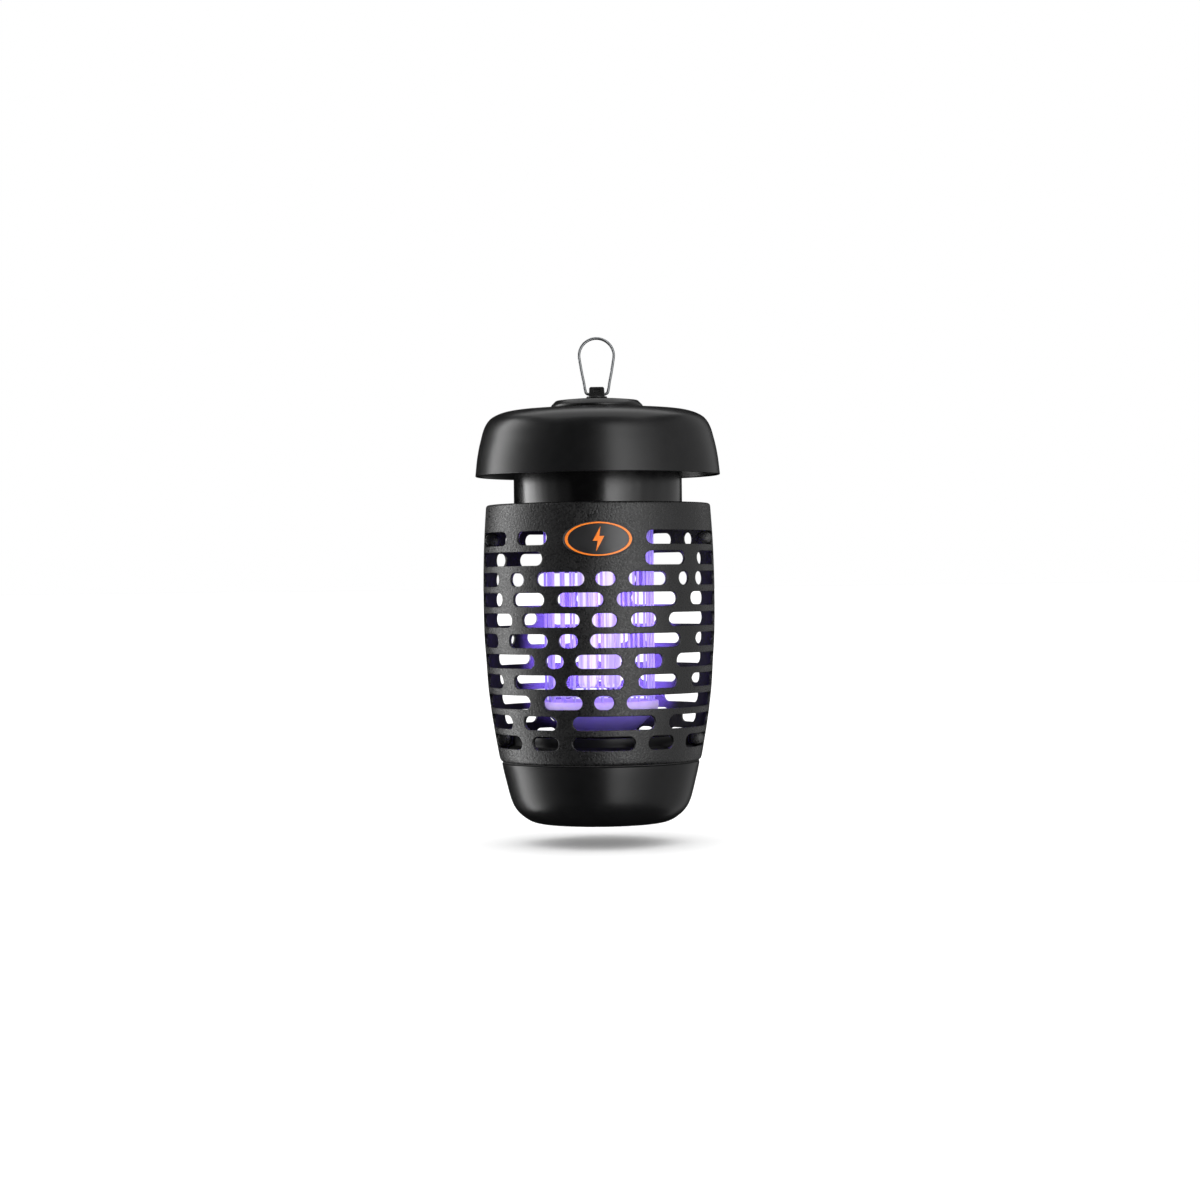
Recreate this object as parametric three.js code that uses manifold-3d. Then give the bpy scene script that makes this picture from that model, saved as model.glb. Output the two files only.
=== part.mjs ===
// Hanging electric bug zapper, lantern style: a hood and neck that hold the electronics, a slotted
// two-piece guard round a high-voltage wire grid with a violet lamp, and a twist-off catch tray.
// Millimetres, +Z up, front towards -Y. The tray stands on z = 0.

import * as THREE from 'three';
import { mergeVertices } from 'three/addons/utils/BufferGeometryUtils.js';
import Module from 'manifold-3d';

const wasm = await Module();
wasm.setup();

// ---------------------------------------------------------------- driving dimensions

const GAP = 0.3;                 // clearance kept between pieces that touch
const WALL = 2.2;                // moulded wall thickness

const HOOD_RIM_RADIUS = 80;
const HOOD_RIM_Z = 226.4;
const HOOD_TOP_Z = 270;
const HOOD_SCREW_RADIUS = 24;    // screws hidden under the cap

const CAP_RADIUS = 30;
const CAP_Z = HOOD_TOP_Z + GAP;
const CAP_TOP_Z = 276.8;

const LUG_HOLE_Z = 279.8;        // axis that the hanging loop swings on
const LUG_TOP_Z = 284.4;
const STEM_RADIUS = 3;
const LOOP_WIRE_RADIUS = 0.95;
const LOOP_HALF_WIDTH = 11.35;
const LOOP_ARC_Z = 304.95;       // centre of the loop's round top

const NECK_RADIUS = 55;
const FLOOR_Z = 202;             // underside of the neck's floor
const FLOOR_THICK = 2.8;
const FLOOR_TOP_Z = FLOOR_Z + FLOOR_THICK;
const NECK_TOP_Z = 265.6;
const NECK_FLANGE_RADIUS = 62;
const GLAND_Z = 219;             // axis of the mains lead where it enters at the back

const GUARD_TOP_Z = 207.7;
const GUARD_BOTTOM_Z = 41;
const FIRST_ROW_Z = 185.1;
const ROW_PITCH = 13.04;
const SLOT_HEIGHT = 8.8;

const BOSS_RADIUS = 4.5;
const SCREW_SEAT_Y = 9;          // bottom of the counterbores that open at the back
const TOP_BOSS = { x: 69, z: FIRST_ROW_Z };
const LOW_BOSS = { x: 62.8, z: 55 };

const GRID_WIRES = 24;
const WIRE_RADIUS = 0.85;
const LIVE_RADIUS = 35.2;
const RETURN_RADIUS = 34;
const GRID_TOP_Z = 196.8;
const GRID_BOTTOM_Z = 77.2;
const GROOVE_INNER = 32.6;
const GROOVE_OUTER = 36.6;
const UPPER_INSULATOR_Z = 194.7;
const LOWER_INSULATOR_Z = 60;
const LOWER_RIM_Z = 79.5;
const INSULATOR_SCREW_RADIUS = 29.4;

const LAMP_TUBE_RADIUS = 6;
const LAMP_TUBE_OFFSET = 8;
const LAMP_TIP_Z = 88;
const LAMP_BASE_Z = 181;
const SOCKET_Z = 200.8;
const SOCKET_TOP_Z = 218;
const SOCKET_SCREW_X = 20.2;
const LAMP_PIN_X = 11.5;

const BOARD_Z = 226;
const BOARD_THICK = 1.6;
const BOARD_TOP_Z = BOARD_Z + BOARD_THICK;
const BOARD_RADIUS = 45;
const BOARD_SCREW_RADIUS = 38;

const BADGE = { halfAngle: 17.2, halfHeight: 11.4, middle: 184 };

const TRAY_RIM_Z = 39.8;
const COLLAR_RADIUS = 60.7;
const COLLAR_TOP_Z = 49.8;
const SKIRT_RADIUS = 57;         // keeps the catch in while the tray is twisted off
const SKIRT_TOP_Z = 57.5;
const LUG_RADIUS = 62.3;         // tip of the tray's thread lugs
const RIB_RADIUS = 61.5;         // tip of the guard's thread ribs
const THREAD_RISE = 12 / 90;     // tray travel in mm for each degree of twist
const THIRDS = [0, 120, 240];    // azimuths of the features that come in threes
const THREAD_LUG_Z = 45.6;       // underside of a lug at its middle

// Slots of each row, from the top, as azimuths in degrees: 0 is the front and positive is to the
// right. The staggered lengths make the irregular brick pattern. They stop short of the joint
// between the two halves, where the back has wide solid bands for the screw bosses.
const FRONT_SLOTS = [
  [[-85.5, -52], [-43.5, -26], [24, 85.5]],
  [[-85.5, -28.5], [23, 47], [57, 85.5]],
  [[-85.5, -58], [-48, -39], [-31.5, -7], [-1.5, 8], [14.5, 35], [42.5, 49.5], [55, 85.5]],
  [[-85.5, -54.5], [-46, -27.5], [-20.5, 2], [8.5, 41], [50.5, 85.5]],
  [[-85.5, -47.5], [-40, -9.5], [-3.5, 8.5], [15.5, 29], [36, 85.5]],
  [[-85.5, -60], [-50, -26], [-20, -10.5], [-4.5, 43.5], [55, 85.5]],
  [[-85.5, -34], [-27.5, -18], [-12, 11], [17.5, 33], [41.5, 85.5]],
  [[-85.5, -57.5], [-48, -22.5], [-17, 12], [19.5, 42.5], [53, 85.5]],
  [[-85.5, -38], [-30, -9], [-3, 7], [13.5, 85.5]],
  [[-85.5, -53], [-43.5, -23], [-14.5, 30], [38.5, 85.5]],
  [[-85.5, -47.5], [-39, -23], [-15, 19], [26.5, 43], [53, 85.5]],
];

// The same for the back half. Here 0 is the back, and positive is still towards +X.
const BACK_SLOTS = [
  [[-58.5, -51], [-42.5, -26], [-18, 20], [28.5, 42], [51, 58.5]],
  [[-67.5, -56.5], [-46, -12], [-4, 19], [28, 50.5], [61, 67.5]],
  [[-67.5, -42.5], [-34, -8], [-2, 20], [27, 37.5], [45.5, 67.5]],
  [[-67.5, -59], [-50, -20], [-12, 9], [17, 44.5], [54.5, 67.5]],
  [[-67.5, -34.5], [-26, -6], [2, 31.5], [38.5, 67.5]],
  [[-67.5, -50.5], [-41.5, -14], [-6, 16], [24, 47], [59, 67.5]],
  [[-67.5, -40], [-32, -10], [-2, 28], [35.5, 67.5]],
  [[-67.5, -61], [-51, -18], [-10, 14], [22, 45.5], [57, 67.5]],
  [[-67.5, -25.5], [-17, 5], [13, 29], [37.5, 67.5]],
  [[-67.5, -38.5], [-30, -2], [6, 22], [30.5, 42], [52, 67.5]],
  [[-57, -49], [-40.5, -26], [-18, 14], [22, 32.5], [43, 57]],
];

// ---------------------------------------------------------------- materials

function plastic(color, roughness = 0.45) {
  return new THREE.MeshStandardMaterial({ color, roughness, metalness: 0 });
}

function metal(color, roughness = 0.3) {
  return new THREE.MeshStandardMaterial({ color, roughness, metalness: 1 });
}

const SATIN_BLACK = plastic(0x1b1b1c, 0.42);
const GLOSS_BLACK = plastic(0x141415, 0.22);
const MATT_BLACK = plastic(0x232324, 0.6);
const WHITE_PLASTIC = plastic(0xe9e7e0, 0.5);
const ORANGE = plastic(0xf07a1a, 0.4);
const RUBBER = plastic(0x101010, 0.9);
const BOARD_GREEN = plastic(0x1d5a36, 0.5);
const FILM_YELLOW = plastic(0xd6a31c, 0.4);
const SLEEVE_BLUE = plastic(0x20386b, 0.4);
const TAPE_YELLOW = plastic(0xcdb544, 0.5);
const RED_WIRE = plastic(0xa02018, 0.45);
const BLACK_WIRE = plastic(0x151515, 0.45);
const STEEL = metal(0xb9bcc0, 0.28);
const ZINC = metal(0x9ea2a6, 0.4);
const LAMINATION = metal(0x5a5c60, 0.6);
const LAMP_GLASS = new THREE.MeshStandardMaterial({
  color: 0xf1e6ff, roughness: 0.15, metalness: 0, emissive: 0x8f6cff, emissiveIntensity: 1,
});
const FUSE_GLASS = new THREE.MeshStandardMaterial({ color: 0xdfe8ea, roughness: 0.05 });

// Leads that feed the two electrodes. Each drops between two grid wires to its upper hoop.
const GRID_LEADS = [
  { name: 'live_lead', radius: 36.3, azimuth: 115, end: 193.3, material: RED_WIRE },
  { name: 'return_lead', radius: 31.1, azimuth: 220, end: 187.4, material: BLACK_WIRE },
];

// ---------------------------------------------------------------- geometry helpers

const group = new THREE.Group();

// Welds a geometry's corners and drops the triangles that collapse to nothing.
function weld(geometry) {
  const bare = geometry.clone();
  for (const name of Object.keys(bare.attributes)) {
    if (name !== 'position') {
      bare.deleteAttribute(name);
    }
  }
  const merged = mergeVertices(bare, 1e-4);
  const index = merged.index.array;
  const kept = [];
  for (let i = 0; i < index.length; i += 3) {
    const [a, b, c] = [index[i], index[i + 1], index[i + 2]];
    if (a !== b && b !== c && c !== a) {
      kept.push(a, b, c);
    }
  }
  merged.setIndex(kept);
  return merged;
}

function toManifold(geometry) {
  const welded = weld(geometry);
  return new wasm.Manifold(new wasm.Mesh({
    numProp: 3,
    vertProperties: new Float32Array(welded.attributes.position.array),
    triVerts: new Uint32Array(welded.index.array),
  }));
}

function fromManifold(solid) {
  const raw = solid.getMesh();
  const geometry = new THREE.BufferGeometry();
  geometry.setAttribute('position', new THREE.BufferAttribute(raw.vertProperties, raw.numProp));
  geometry.setIndex(new THREE.BufferAttribute(raw.triVerts, 1));
  return geometry;
}

// Cuts the tools out of a solid, then joins the extras to it.
function cut(geometry, tools, extras = []) {
  let solid = toManifold(geometry);
  for (const extra of extras) {
    solid = solid.add(toManifold(extra));
  }
  for (const tool of tools) {
    solid = solid.subtract(toManifold(tool));
  }
  return fromManifold(solid);
}

function join(...geometries) {
  return cut(geometries[0], [], geometries.slice(1));
}

function addPart(name, geometry, material, parent = group) {
  const mesh = new THREE.Mesh(geometry.index ? weld(geometry) : geometry, material);
  mesh.geometry.computeVertexNormals();
  mesh.name = name;
  parent.add(mesh);
  return mesh;
}

// A point at a radius and azimuth, where azimuth 0 is the front (-Y) and 90 degrees is +X.
function polar(radius, azimuth, z = 0) {
  const angle = THREE.MathUtils.degToRad(azimuth);
  return new THREE.Vector3(radius * Math.sin(angle), -radius * Math.cos(angle), z);
}

// Turns a closed or axis-to-axis outline of [radius, z] points about the Z axis.
function turned(points, segments = 32) {
  const outline = points.map(([radius, z]) => new THREE.Vector2(radius, z));
  return new THREE.LatheGeometry(outline, segments).rotateX(Math.PI / 2);
}

function rod(radius, z0, z1, x = 0, y = 0, segments = 16) {
  return turned([[0, z0], [radius, z0], [radius, z1], [0, z1]], segments).translate(x, y, 0);
}

function ring(inner, outer, z0, z1, segments = 32) {
  return turned([[inner, z0], [outer, z0], [outer, z1], [inner, z1], [inner, z0]], segments);
}

function block(sizeX, sizeY, z0, z1, x = 0, y = 0) {
  return new THREE.BoxGeometry(sizeX, sizeY, z1 - z0).translate(x, y, (z0 + z1) / 2);
}

// Wire or lead of round section along a smooth curve through the points.
function wire(points, radius, steps, sides = 8) {
  const path = new THREE.CatmullRomCurve3(points, false, 'centripetal');
  const section = new THREE.Shape();
  for (let i = 0; i < sides; i += 1) {
    const angle = (i * 2 * Math.PI) / sides;
    const [x, y] = [radius * Math.cos(angle), radius * Math.sin(angle)];
    if (i === 0) {
      section.moveTo(x, y);
    } else {
      section.lineTo(x, y);
    }
  }
  return new THREE.ExtrudeGeometry(section, { steps, bevelEnabled: false, extrudePath: path });
}

// Skins a row of equal convex outlines and closes both ends. Each outline runs outwards along its
// lower edge and back along its upper edge, and the row advances in azimuth.
function skinned(outlines) {
  const size = outlines[0].length;
  const corners = outlines.flat();
  const index = [];
  for (let k = 0; k + 1 < outlines.length; k += 1) {
    for (let i = 0; i < size; i += 1) {
      const j = (i + 1) % size;
      const [a, b] = [k * size + i, (k + 1) * size + i];
      const [c, d] = [(k + 1) * size + j, k * size + j];
      index.push(a, b, c, a, c, d);
    }
  }
  const last = (outlines.length - 1) * size;
  for (let i = 1; i + 1 < size; i += 1) {
    index.push(0, i, i + 1);
    index.push(last, last + i + 1, last + i);
  }
  const geometry = new THREE.BufferGeometry();
  geometry.setFromPoints(corners);
  geometry.setIndex(index);
  return geometry;
}

// Evenly spaced azimuths from one end to the other, no more than a step apart.
function azimuths(from, to, step) {
  const count = Math.max(1, Math.ceil((to - from) / step));
  return Array.from({ length: count + 1 }, (_, i) => from + ((to - from) * i) / count);
}

// A curved bar between two radii. lower(azimuth) and upper(azimuth) give its edges' heights.
function sector(from, to, inner, outer, lower, upper, step = 12) {
  return skinned(azimuths(from, to, step).map((azimuth) => [
    polar(inner, azimuth, lower(azimuth)),
    polar(outer, azimuth, lower(azimuth)),
    polar(outer, azimuth, upper(azimuth)),
    polar(inner, azimuth, upper(azimuth)),
  ]));
}

// Screw along Z with its head's flat face at headZ; the tip is above it or below it.
function screw(headRadius, headHeight, shankRadius, headZ, tipZ) {
  const away = Math.sign(headZ - tipZ);
  const outline = [
    [0, tipZ], [shankRadius, tipZ], [shankRadius, headZ],
    [headRadius, headZ], [headRadius * 0.82, headZ + away * headHeight],
    [0, headZ + away * headHeight],
  ];
  return turned(away > 0 ? outline : outline.reverse(), 8);
}

// ---------------------------------------------------------------- hanging parts

function makeCap() {
  const hole = STEM_RADIUS + GAP;
  const outline = [
    [hole, CAP_Z], [9, CAP_Z], [9, CAP_Z + 2.7], [27.5, CAP_Z + 2.7], [27.5, CAP_Z],
    [CAP_RADIUS, CAP_Z], [CAP_RADIUS, CAP_Z + 2], [26.8, CAP_Z + 5.2], [18, CAP_TOP_Z - 0.5],
    [9, CAP_TOP_Z], [hole, CAP_TOP_Z], [hole, CAP_Z],
  ];
  addPart('top_cap', turned(outline, 28), SATIN_BLACK);
}

function makeLug() {
  const base = CAP_TOP_Z + GAP;
  const profile = new THREE.Shape();
  profile.moveTo(-5.3, base);
  profile.lineTo(5.3, base);
  profile.lineTo(4.9, LUG_TOP_Z - 0.8);
  profile.lineTo(4.1, LUG_TOP_Z);
  profile.lineTo(-4.1, LUG_TOP_Z);
  profile.lineTo(-4.9, LUG_TOP_Z - 0.8);
  const body = new THREE.ExtrudeGeometry(profile, { depth: 8, bevelEnabled: false });
  body.rotateX(Math.PI / 2).translate(0, 4, 0);
  const crossHole = rod(LOOP_WIRE_RADIUS + 0.35, -8, 8, 0, 0, 12);
  crossHole.rotateY(Math.PI / 2).translate(0, 0, LUG_HOLE_Z);
  const flange = rod(6.8, base, base + 1.2, 0, 0, 24);
  const stem = rod(STEM_RADIUS, HOOD_TOP_Z - 11, base + 1, 0, 0, 16);
  addPart('loop_lug', cut(body, [crossHole], [flange, stem]), SATIN_BLACK);
}

// The loop's middle line: short pins in the lug's hole, legs that splay, and a round top.
function loopPath() {
  const half = [
    [1, LUG_HOLE_Z], [3, LUG_HOLE_Z], [5.4, LUG_HOLE_Z], [6.9, LUG_HOLE_Z + 0.8],
    [7.6, LUG_HOLE_Z + 2.8], [8.3, 287], [9.5, 293], [10.7, 300],
  ];
  const points = half.map(([x, z]) => new THREE.Vector3(x, 0, z));
  for (let angle = 0; angle <= 180; angle += 20) {
    const turn = THREE.MathUtils.degToRad(angle);
    const z = LOOP_ARC_Z + LOOP_HALF_WIDTH * Math.sin(turn);
    points.push(new THREE.Vector3(LOOP_HALF_WIDTH * Math.cos(turn), 0, z));
  }
  for (const [x, z] of half.reverse()) {
    points.push(new THREE.Vector3(-x, 0, z));
  }
  return points;
}

function makeHangingParts() {
  makeCap();
  makeLug();
  addPart('hang_loop', wire(loopPath(), LOOP_WIRE_RADIUS, 48, 6), STEEL);
  const washerZ = HOOD_TOP_Z - 2.6 - GAP;
  addPart('lug_washer', ring(STEM_RADIUS + GAP, 8, washerZ - 1.2, washerZ, 24), ZINC);
  const nutZ = washerZ - 1.2 - GAP;
  addPart('lug_nut', cut(rod(5.8, nutZ - 4.5, nutZ, 0, 0, 6),
    [rod(STEM_RADIUS + GAP, nutZ - 6, nutZ + 1)]), ZINC);
}

// ---------------------------------------------------------------- hood and neck

function makeHood() {
  const outside = [
    [HOOD_RIM_RADIUS, HOOD_RIM_Z], [78.8, 237.6], [76.6, 249], [73.8, 258.5], [70.4, 263.6], [65.6, 266.6],
    [58.5, 268.7], [30, HOOD_TOP_Z],
  ];
  const inside = [
    [30, 267.4], [57.6, 266.2], [64.4, 264.2], [68.6, 261.4], [71.4, 257.4], [74.4, 248],
    [77.6, HOOD_RIM_Z],
  ];
  const hole = STEM_RADIUS + GAP;
  const outline = [
    ...outside, [hole, HOOD_TOP_Z], [hole, 267.4], ...inside, outside[0],
  ];
  const screwHoles = THIRDS.map((azimuth) => {
    const place = polar(HOOD_SCREW_RADIUS, azimuth + 60);
    return rod(1.9, 260, 275, place.x, place.y, 10);
  });
  addPart('hood_shell', cut(turned(outline, 32), screwHoles), SATIN_BLACK);
  THIRDS.forEach((azimuth, i) => {
    const place = polar(HOOD_SCREW_RADIUS, azimuth + 60);
    const part = screw(3, 1.9, 1.4, HOOD_TOP_Z + GAP, HOOD_TOP_Z - 14);
    addPart(`hood_screw_${i + 1}`, part, ZINC).position.set(place.x, place.y, 0);
  });
}

function makeNeck() {
  const outline = [
    [0, FLOOR_Z], [NECK_FLANGE_RADIUS, FLOOR_Z], [NECK_FLANGE_RADIUS, FLOOR_TOP_Z],
    [NECK_RADIUS, FLOOR_TOP_Z], [NECK_RADIUS, NECK_TOP_Z], [NECK_RADIUS - WALL, NECK_TOP_Z],
    [NECK_RADIUS - WALL, FLOOR_TOP_Z], [0, FLOOR_TOP_Z],
  ];
  const posts = [];
  const holes = [];
  for (const azimuth of THIRDS) {
    const tall = polar(HOOD_SCREW_RADIUS, azimuth + 60);
    posts.push(rod(4, FLOOR_Z + 1, HOOD_TOP_Z - 2.9, tall.x, tall.y, 12));
    holes.push(rod(1.7, HOOD_TOP_Z - 18, HOOD_TOP_Z, tall.x, tall.y, 8));
    const low = polar(BOARD_SCREW_RADIUS, azimuth + 30);
    posts.push(rod(3.5, FLOOR_Z + 1, BOARD_Z - GAP, low.x, low.y, 10));
    holes.push(rod(1.5, BOARD_Z - 10, BOARD_Z + 2, low.x, low.y, 8));
    const insulator = polar(INSULATOR_SCREW_RADIUS, azimuth);
    holes.push(rod(1.5, FLOOR_Z - 2, FLOOR_TOP_Z + 2, insulator.x, insulator.y, 8));
  }
  holes.push(block(33.2, 25.2, FLOOR_Z - 2, FLOOR_TOP_Z + 2));
  for (const { radius, azimuth } of GRID_LEADS) {
    const place = polar(radius, azimuth);
    holes.push(rod(1.3, FLOOR_Z - 2, FLOOR_TOP_Z + 2, place.x, place.y, 8));
  }
  for (const side of [-1, 1]) {
    holes.push(rod(1.4, FLOOR_Z - 2, FLOOR_TOP_Z + 2, SOCKET_SCREW_X * side, 0, 8));
  }
  holes.push(rod(4.4, 0, 20, 0, 0, 12).rotateX(-Math.PI / 2).translate(0, 45, GLAND_Z));
  addPart('neck_housing', cut(turned(outline, 32), holes, posts), GLOSS_BLACK);
}

function makeInlet() {
  const gland = turned([
    [2.6, 50], [4.1, 50], [4.1, NECK_RADIUS + GAP], [7, NECK_RADIUS + GAP], [7, 58],
    [5.2, 59], [4.4, 65], [2.6, 65], [2.6, 50],
  ], 16);
  gland.rotateX(-Math.PI / 2).translate(0, 0, GLAND_Z);
  addPart('cord_gland', gland, RUBBER);
  const lead = [
    [49.6, GLAND_Z], [47, GLAND_Z], [44, GLAND_Z + 1.4], [42.4, GLAND_Z + 4], [42, BOARD_Z - GAP],
  ].map(([y, z]) => new THREE.Vector3(0, y, z));
  addPart('inlet_lead', wire(lead, 1.6, 10, 8), BLACK_WIRE);
}

// ---------------------------------------------------------------- electronics

function makeBoard() {
  const holes = [];
  for (const azimuth of THIRDS) {
    const tall = polar(HOOD_SCREW_RADIUS, azimuth + 60);
    holes.push(rod(4.6, BOARD_Z - 2, BOARD_TOP_Z + 2, tall.x, tall.y, 12));
    const low = polar(BOARD_SCREW_RADIUS, azimuth + 30);
    holes.push(rod(1.7, BOARD_Z - 2, BOARD_TOP_Z + 2, low.x, low.y, 8));
  }
  addPart('circuit_board', cut(rod(BOARD_RADIUS, BOARD_Z, BOARD_TOP_Z, 0, 0, 32), holes), BOARD_GREEN);
  THIRDS.forEach((azimuth, i) => {
    const place = polar(BOARD_SCREW_RADIUS, azimuth + 30);
    const part = screw(2.8, 1.8, 1.2, BOARD_TOP_Z + GAP, BOARD_Z - 8);
    addPart(`board_screw_${i + 1}`, part, ZINC).position.set(place.x, place.y, 0);
  });
}

function makeBoardParts() {
  const base = BOARD_TOP_Z + GAP;
  const frame = new THREE.Shape();
  frame.moveTo(-13, 0);
  frame.lineTo(13, 0);
  frame.lineTo(13, 22);
  frame.lineTo(-13, 22);
  const opening = new THREE.Path();
  opening.moveTo(-8, 5);
  opening.lineTo(-8, 17);
  opening.lineTo(8, 17);
  opening.lineTo(8, 5);
  frame.holes.push(opening);
  const core = new THREE.ExtrudeGeometry(frame, { depth: 12, bevelEnabled: false });
  core.rotateX(Math.PI / 2).translate(0, -18, base);
  addPart('choke_core', core, LAMINATION);
  addPart('choke_winding', block(15.4, 18, base + 5.3, base + 16.7, 0, -24), TAPE_YELLOW);
  addPart('main_capacitor', turned([
    [0, base], [6.3, base], [6.5, base + 1.5], [6.5, base + 20], [5.9, base + 20.8],
    [0, base + 20.8],
  ], 20).translate(32, 4, 0), SLEEVE_BLUE);
  for (let i = 0; i < 3; i += 1) {
    const part = block(12, 5, base, base + 11.5, -26, 9 + 7 * i);
    addPart(`multiplier_capacitor_${i + 1}`, part, FILM_YELLOW);
  }
  const fuse = rod(2.6, -9, 9, 0, 0, 12).rotateY(Math.PI / 2).translate(24, 22, base + 2.9);
  addPart('fuse', fuse, FUSE_GLASS);
}

// ---------------------------------------------------------------- lamp

function makeLamp() {
  const legs = [-1, 1].map((side) => turned([
    [0, LAMP_TIP_Z], [3.6, LAMP_TIP_Z + 0.9], [LAMP_TUBE_RADIUS, LAMP_TIP_Z + 4],
    [LAMP_TUBE_RADIUS, LAMP_BASE_Z - GAP], [0, LAMP_BASE_Z - GAP],
  ], 16).translate(side * LAMP_TUBE_OFFSET, 0, 0));
  const bridge = rod(3.2, -LAMP_TUBE_OFFSET, LAMP_TUBE_OFFSET, 0, 0, 10);
  bridge.rotateY(Math.PI / 2).translate(0, 0, LAMP_TIP_Z + 8);
  addPart('lamp_tube', join(legs[0], legs[1], bridge), LAMP_GLASS);

  const pins = [-1, 1].map((side) => rod(1.2, SOCKET_Z - 2, SOCKET_Z + 8, LAMP_PIN_X * side, 0, 8));
  const key = block(11, 9, SOCKET_Z - 2, SOCKET_Z + 14);
  const base = join(block(31, 20, LAMP_BASE_Z, SOCKET_Z - GAP), key, ...pins);
  addPart('lamp_base', base, WHITE_PLASTIC);

  const holder = block(32.4, 24.4, SOCKET_Z, SOCKET_TOP_Z);
  const flange = block(50, 13, FLOOR_TOP_Z + GAP, FLOOR_TOP_Z + 2.8);
  const cuts = [block(11.8, 9.8, SOCKET_Z - 1, SOCKET_Z + 14.6)];
  for (const side of [-1, 1]) {
    cuts.push(rod(1.6, SOCKET_Z - 1, SOCKET_Z + 8.6, LAMP_PIN_X * side, 0, 8));
    cuts.push(rod(1.7, FLOOR_Z, FLOOR_TOP_Z + 5, SOCKET_SCREW_X * side, 0, 8));
    const part = screw(2.5, 1.7, 1.1, FLOOR_TOP_Z + 3.1, FLOOR_Z + 0.4);
    const name = side < 0 ? 'socket_screw_left' : 'socket_screw_right';
    addPart(name, part, ZINC).position.set(SOCKET_SCREW_X * side, 0, 0);
    const lead = [
      new THREE.Vector3(11 * side, 0, SOCKET_TOP_Z + GAP), new THREE.Vector3(11 * side, 0, 221),
      new THREE.Vector3(11.6 * side, 2, 223.4), new THREE.Vector3(11.6 * side, 2, BOARD_Z - GAP),
    ];
    const leadName = side < 0 ? 'lamp_lead_left' : 'lamp_lead_right';
    addPart(leadName, wire(lead, 0.9, 6, 6), side < 0 ? BLACK_WIRE : RED_WIRE);
  }
  addPart('lamp_socket', cut(holder, cuts, [flange]), WHITE_PLASTIC);
}

// ---------------------------------------------------------------- high-voltage grid

// One electrode: every second wire of the cage, with a hoop near each end.
function electrode(firstWire, wireRing, hoopInner, hoopOuter, hoopHeights) {
  const pieces = hoopHeights.map((z) => ring(hoopInner, hoopOuter, z, z + 2, 24));
  for (let i = firstWire; i < GRID_WIRES; i += 2) {
    const place = polar(wireRing, (i * 360) / GRID_WIRES + 2.5);
    pieces.push(rod(WIRE_RADIUS, GRID_BOTTOM_Z, GRID_TOP_Z, place.x, place.y, 6));
  }
  return join(...pieces);
}

function makeGrid() {
  addPart('live_grid', electrode(0, LIVE_RADIUS, 35.6, 37, [82.5, 191]), STEEL);
  addPart('return_grid', electrode(1, RETURN_RADIUS, 32.2, 33.6, [86, 187]), STEEL);

  const top = FLOOR_Z - GAP;
  const groove = UPPER_INSULATOR_Z + 3;
  const upper = turned([
    [25.5, UPPER_INSULATOR_Z + 1], [GROOVE_INNER, UPPER_INSULATOR_Z], [GROOVE_INNER, groove],
    [GROOVE_OUTER, groove], [GROOVE_OUTER, UPPER_INSULATOR_Z], [41, UPPER_INSULATOR_Z + 0.8],
    [41, top], [25.5, top], [25.5, UPPER_INSULATOR_Z + 1],
  ], 24);
  const holes = GRID_LEADS.map(({ radius, azimuth }) => {
    const place = polar(radius, azimuth);
    return rod(1.2, 190, 203, place.x, place.y, 8);
  });
  THIRDS.forEach((azimuth, i) => {
    const place = polar(INSULATOR_SCREW_RADIUS, azimuth);
    holes.push(rod(1.6, 190, 203, place.x, place.y, 8));
    const part = screw(2.5, 1.6, 1.1, UPPER_INSULATOR_Z - GAP, FLOOR_TOP_Z - 0.4);
    addPart(`insulator_screw_${i + 1}`, part, ZINC).position.set(place.x, place.y, 0);
  });
  addPart('upper_insulator', cut(upper, holes), MATT_BLACK);

  const floor = GRID_BOTTOM_Z - GAP;
  addPart('lower_insulator', turned([
    [8, LOWER_INSULATOR_Z], [23, LOWER_INSULATOR_Z], [38, 74], [38.2, LOWER_RIM_Z],
    [GROOVE_OUTER, LOWER_RIM_Z], [GROOVE_OUTER, floor], [GROOVE_INNER, floor],
    [GROOVE_INNER, LOWER_RIM_Z], [31, LOWER_RIM_Z], [30.6, 76], [21.6, 63], [8, 62.4],
    [8, LOWER_INSULATOR_Z],
  ], 24), MATT_BLACK);
}

function makeGridLeads() {
  for (const { name, radius, azimuth, end, material } of GRID_LEADS) {
    const heights = [end, 200, 210, BOARD_Z - GAP];
    const lead = heights.map((z) => polar(radius, azimuth, z));
    addPart(name, wire(lead, 0.8, 4, 6), material);
  }
}

// ---------------------------------------------------------------- guard

// Outline of the guard's outside. Its corners lie on the bars between the rows of slots.
const GUARD_OUTSIDE = [
  [65.2, GUARD_BOTTOM_Z], [67.1, 47.6], [69.3, 61.2], [72.8, 87.3], [74.6, 113.4],
  [75.5, 139.5], [75.4, 165.5], [74.3, 191.6], [73.4, 204.4], [71.4, GUARD_TOP_Z],
];

function guardRadius(z) {
  for (let i = 1; i < GUARD_OUTSIDE.length; i += 1) {
    const [r0, z0] = GUARD_OUTSIDE[i - 1];
    const [r1, z1] = GUARD_OUTSIDE[i];
    if (z <= z1) {
      return r0 + ((r1 - r0) * (z - z0)) / (z1 - z0);
    }
  }
  return GUARD_OUTSIDE.at(-1)[0];
}

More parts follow.
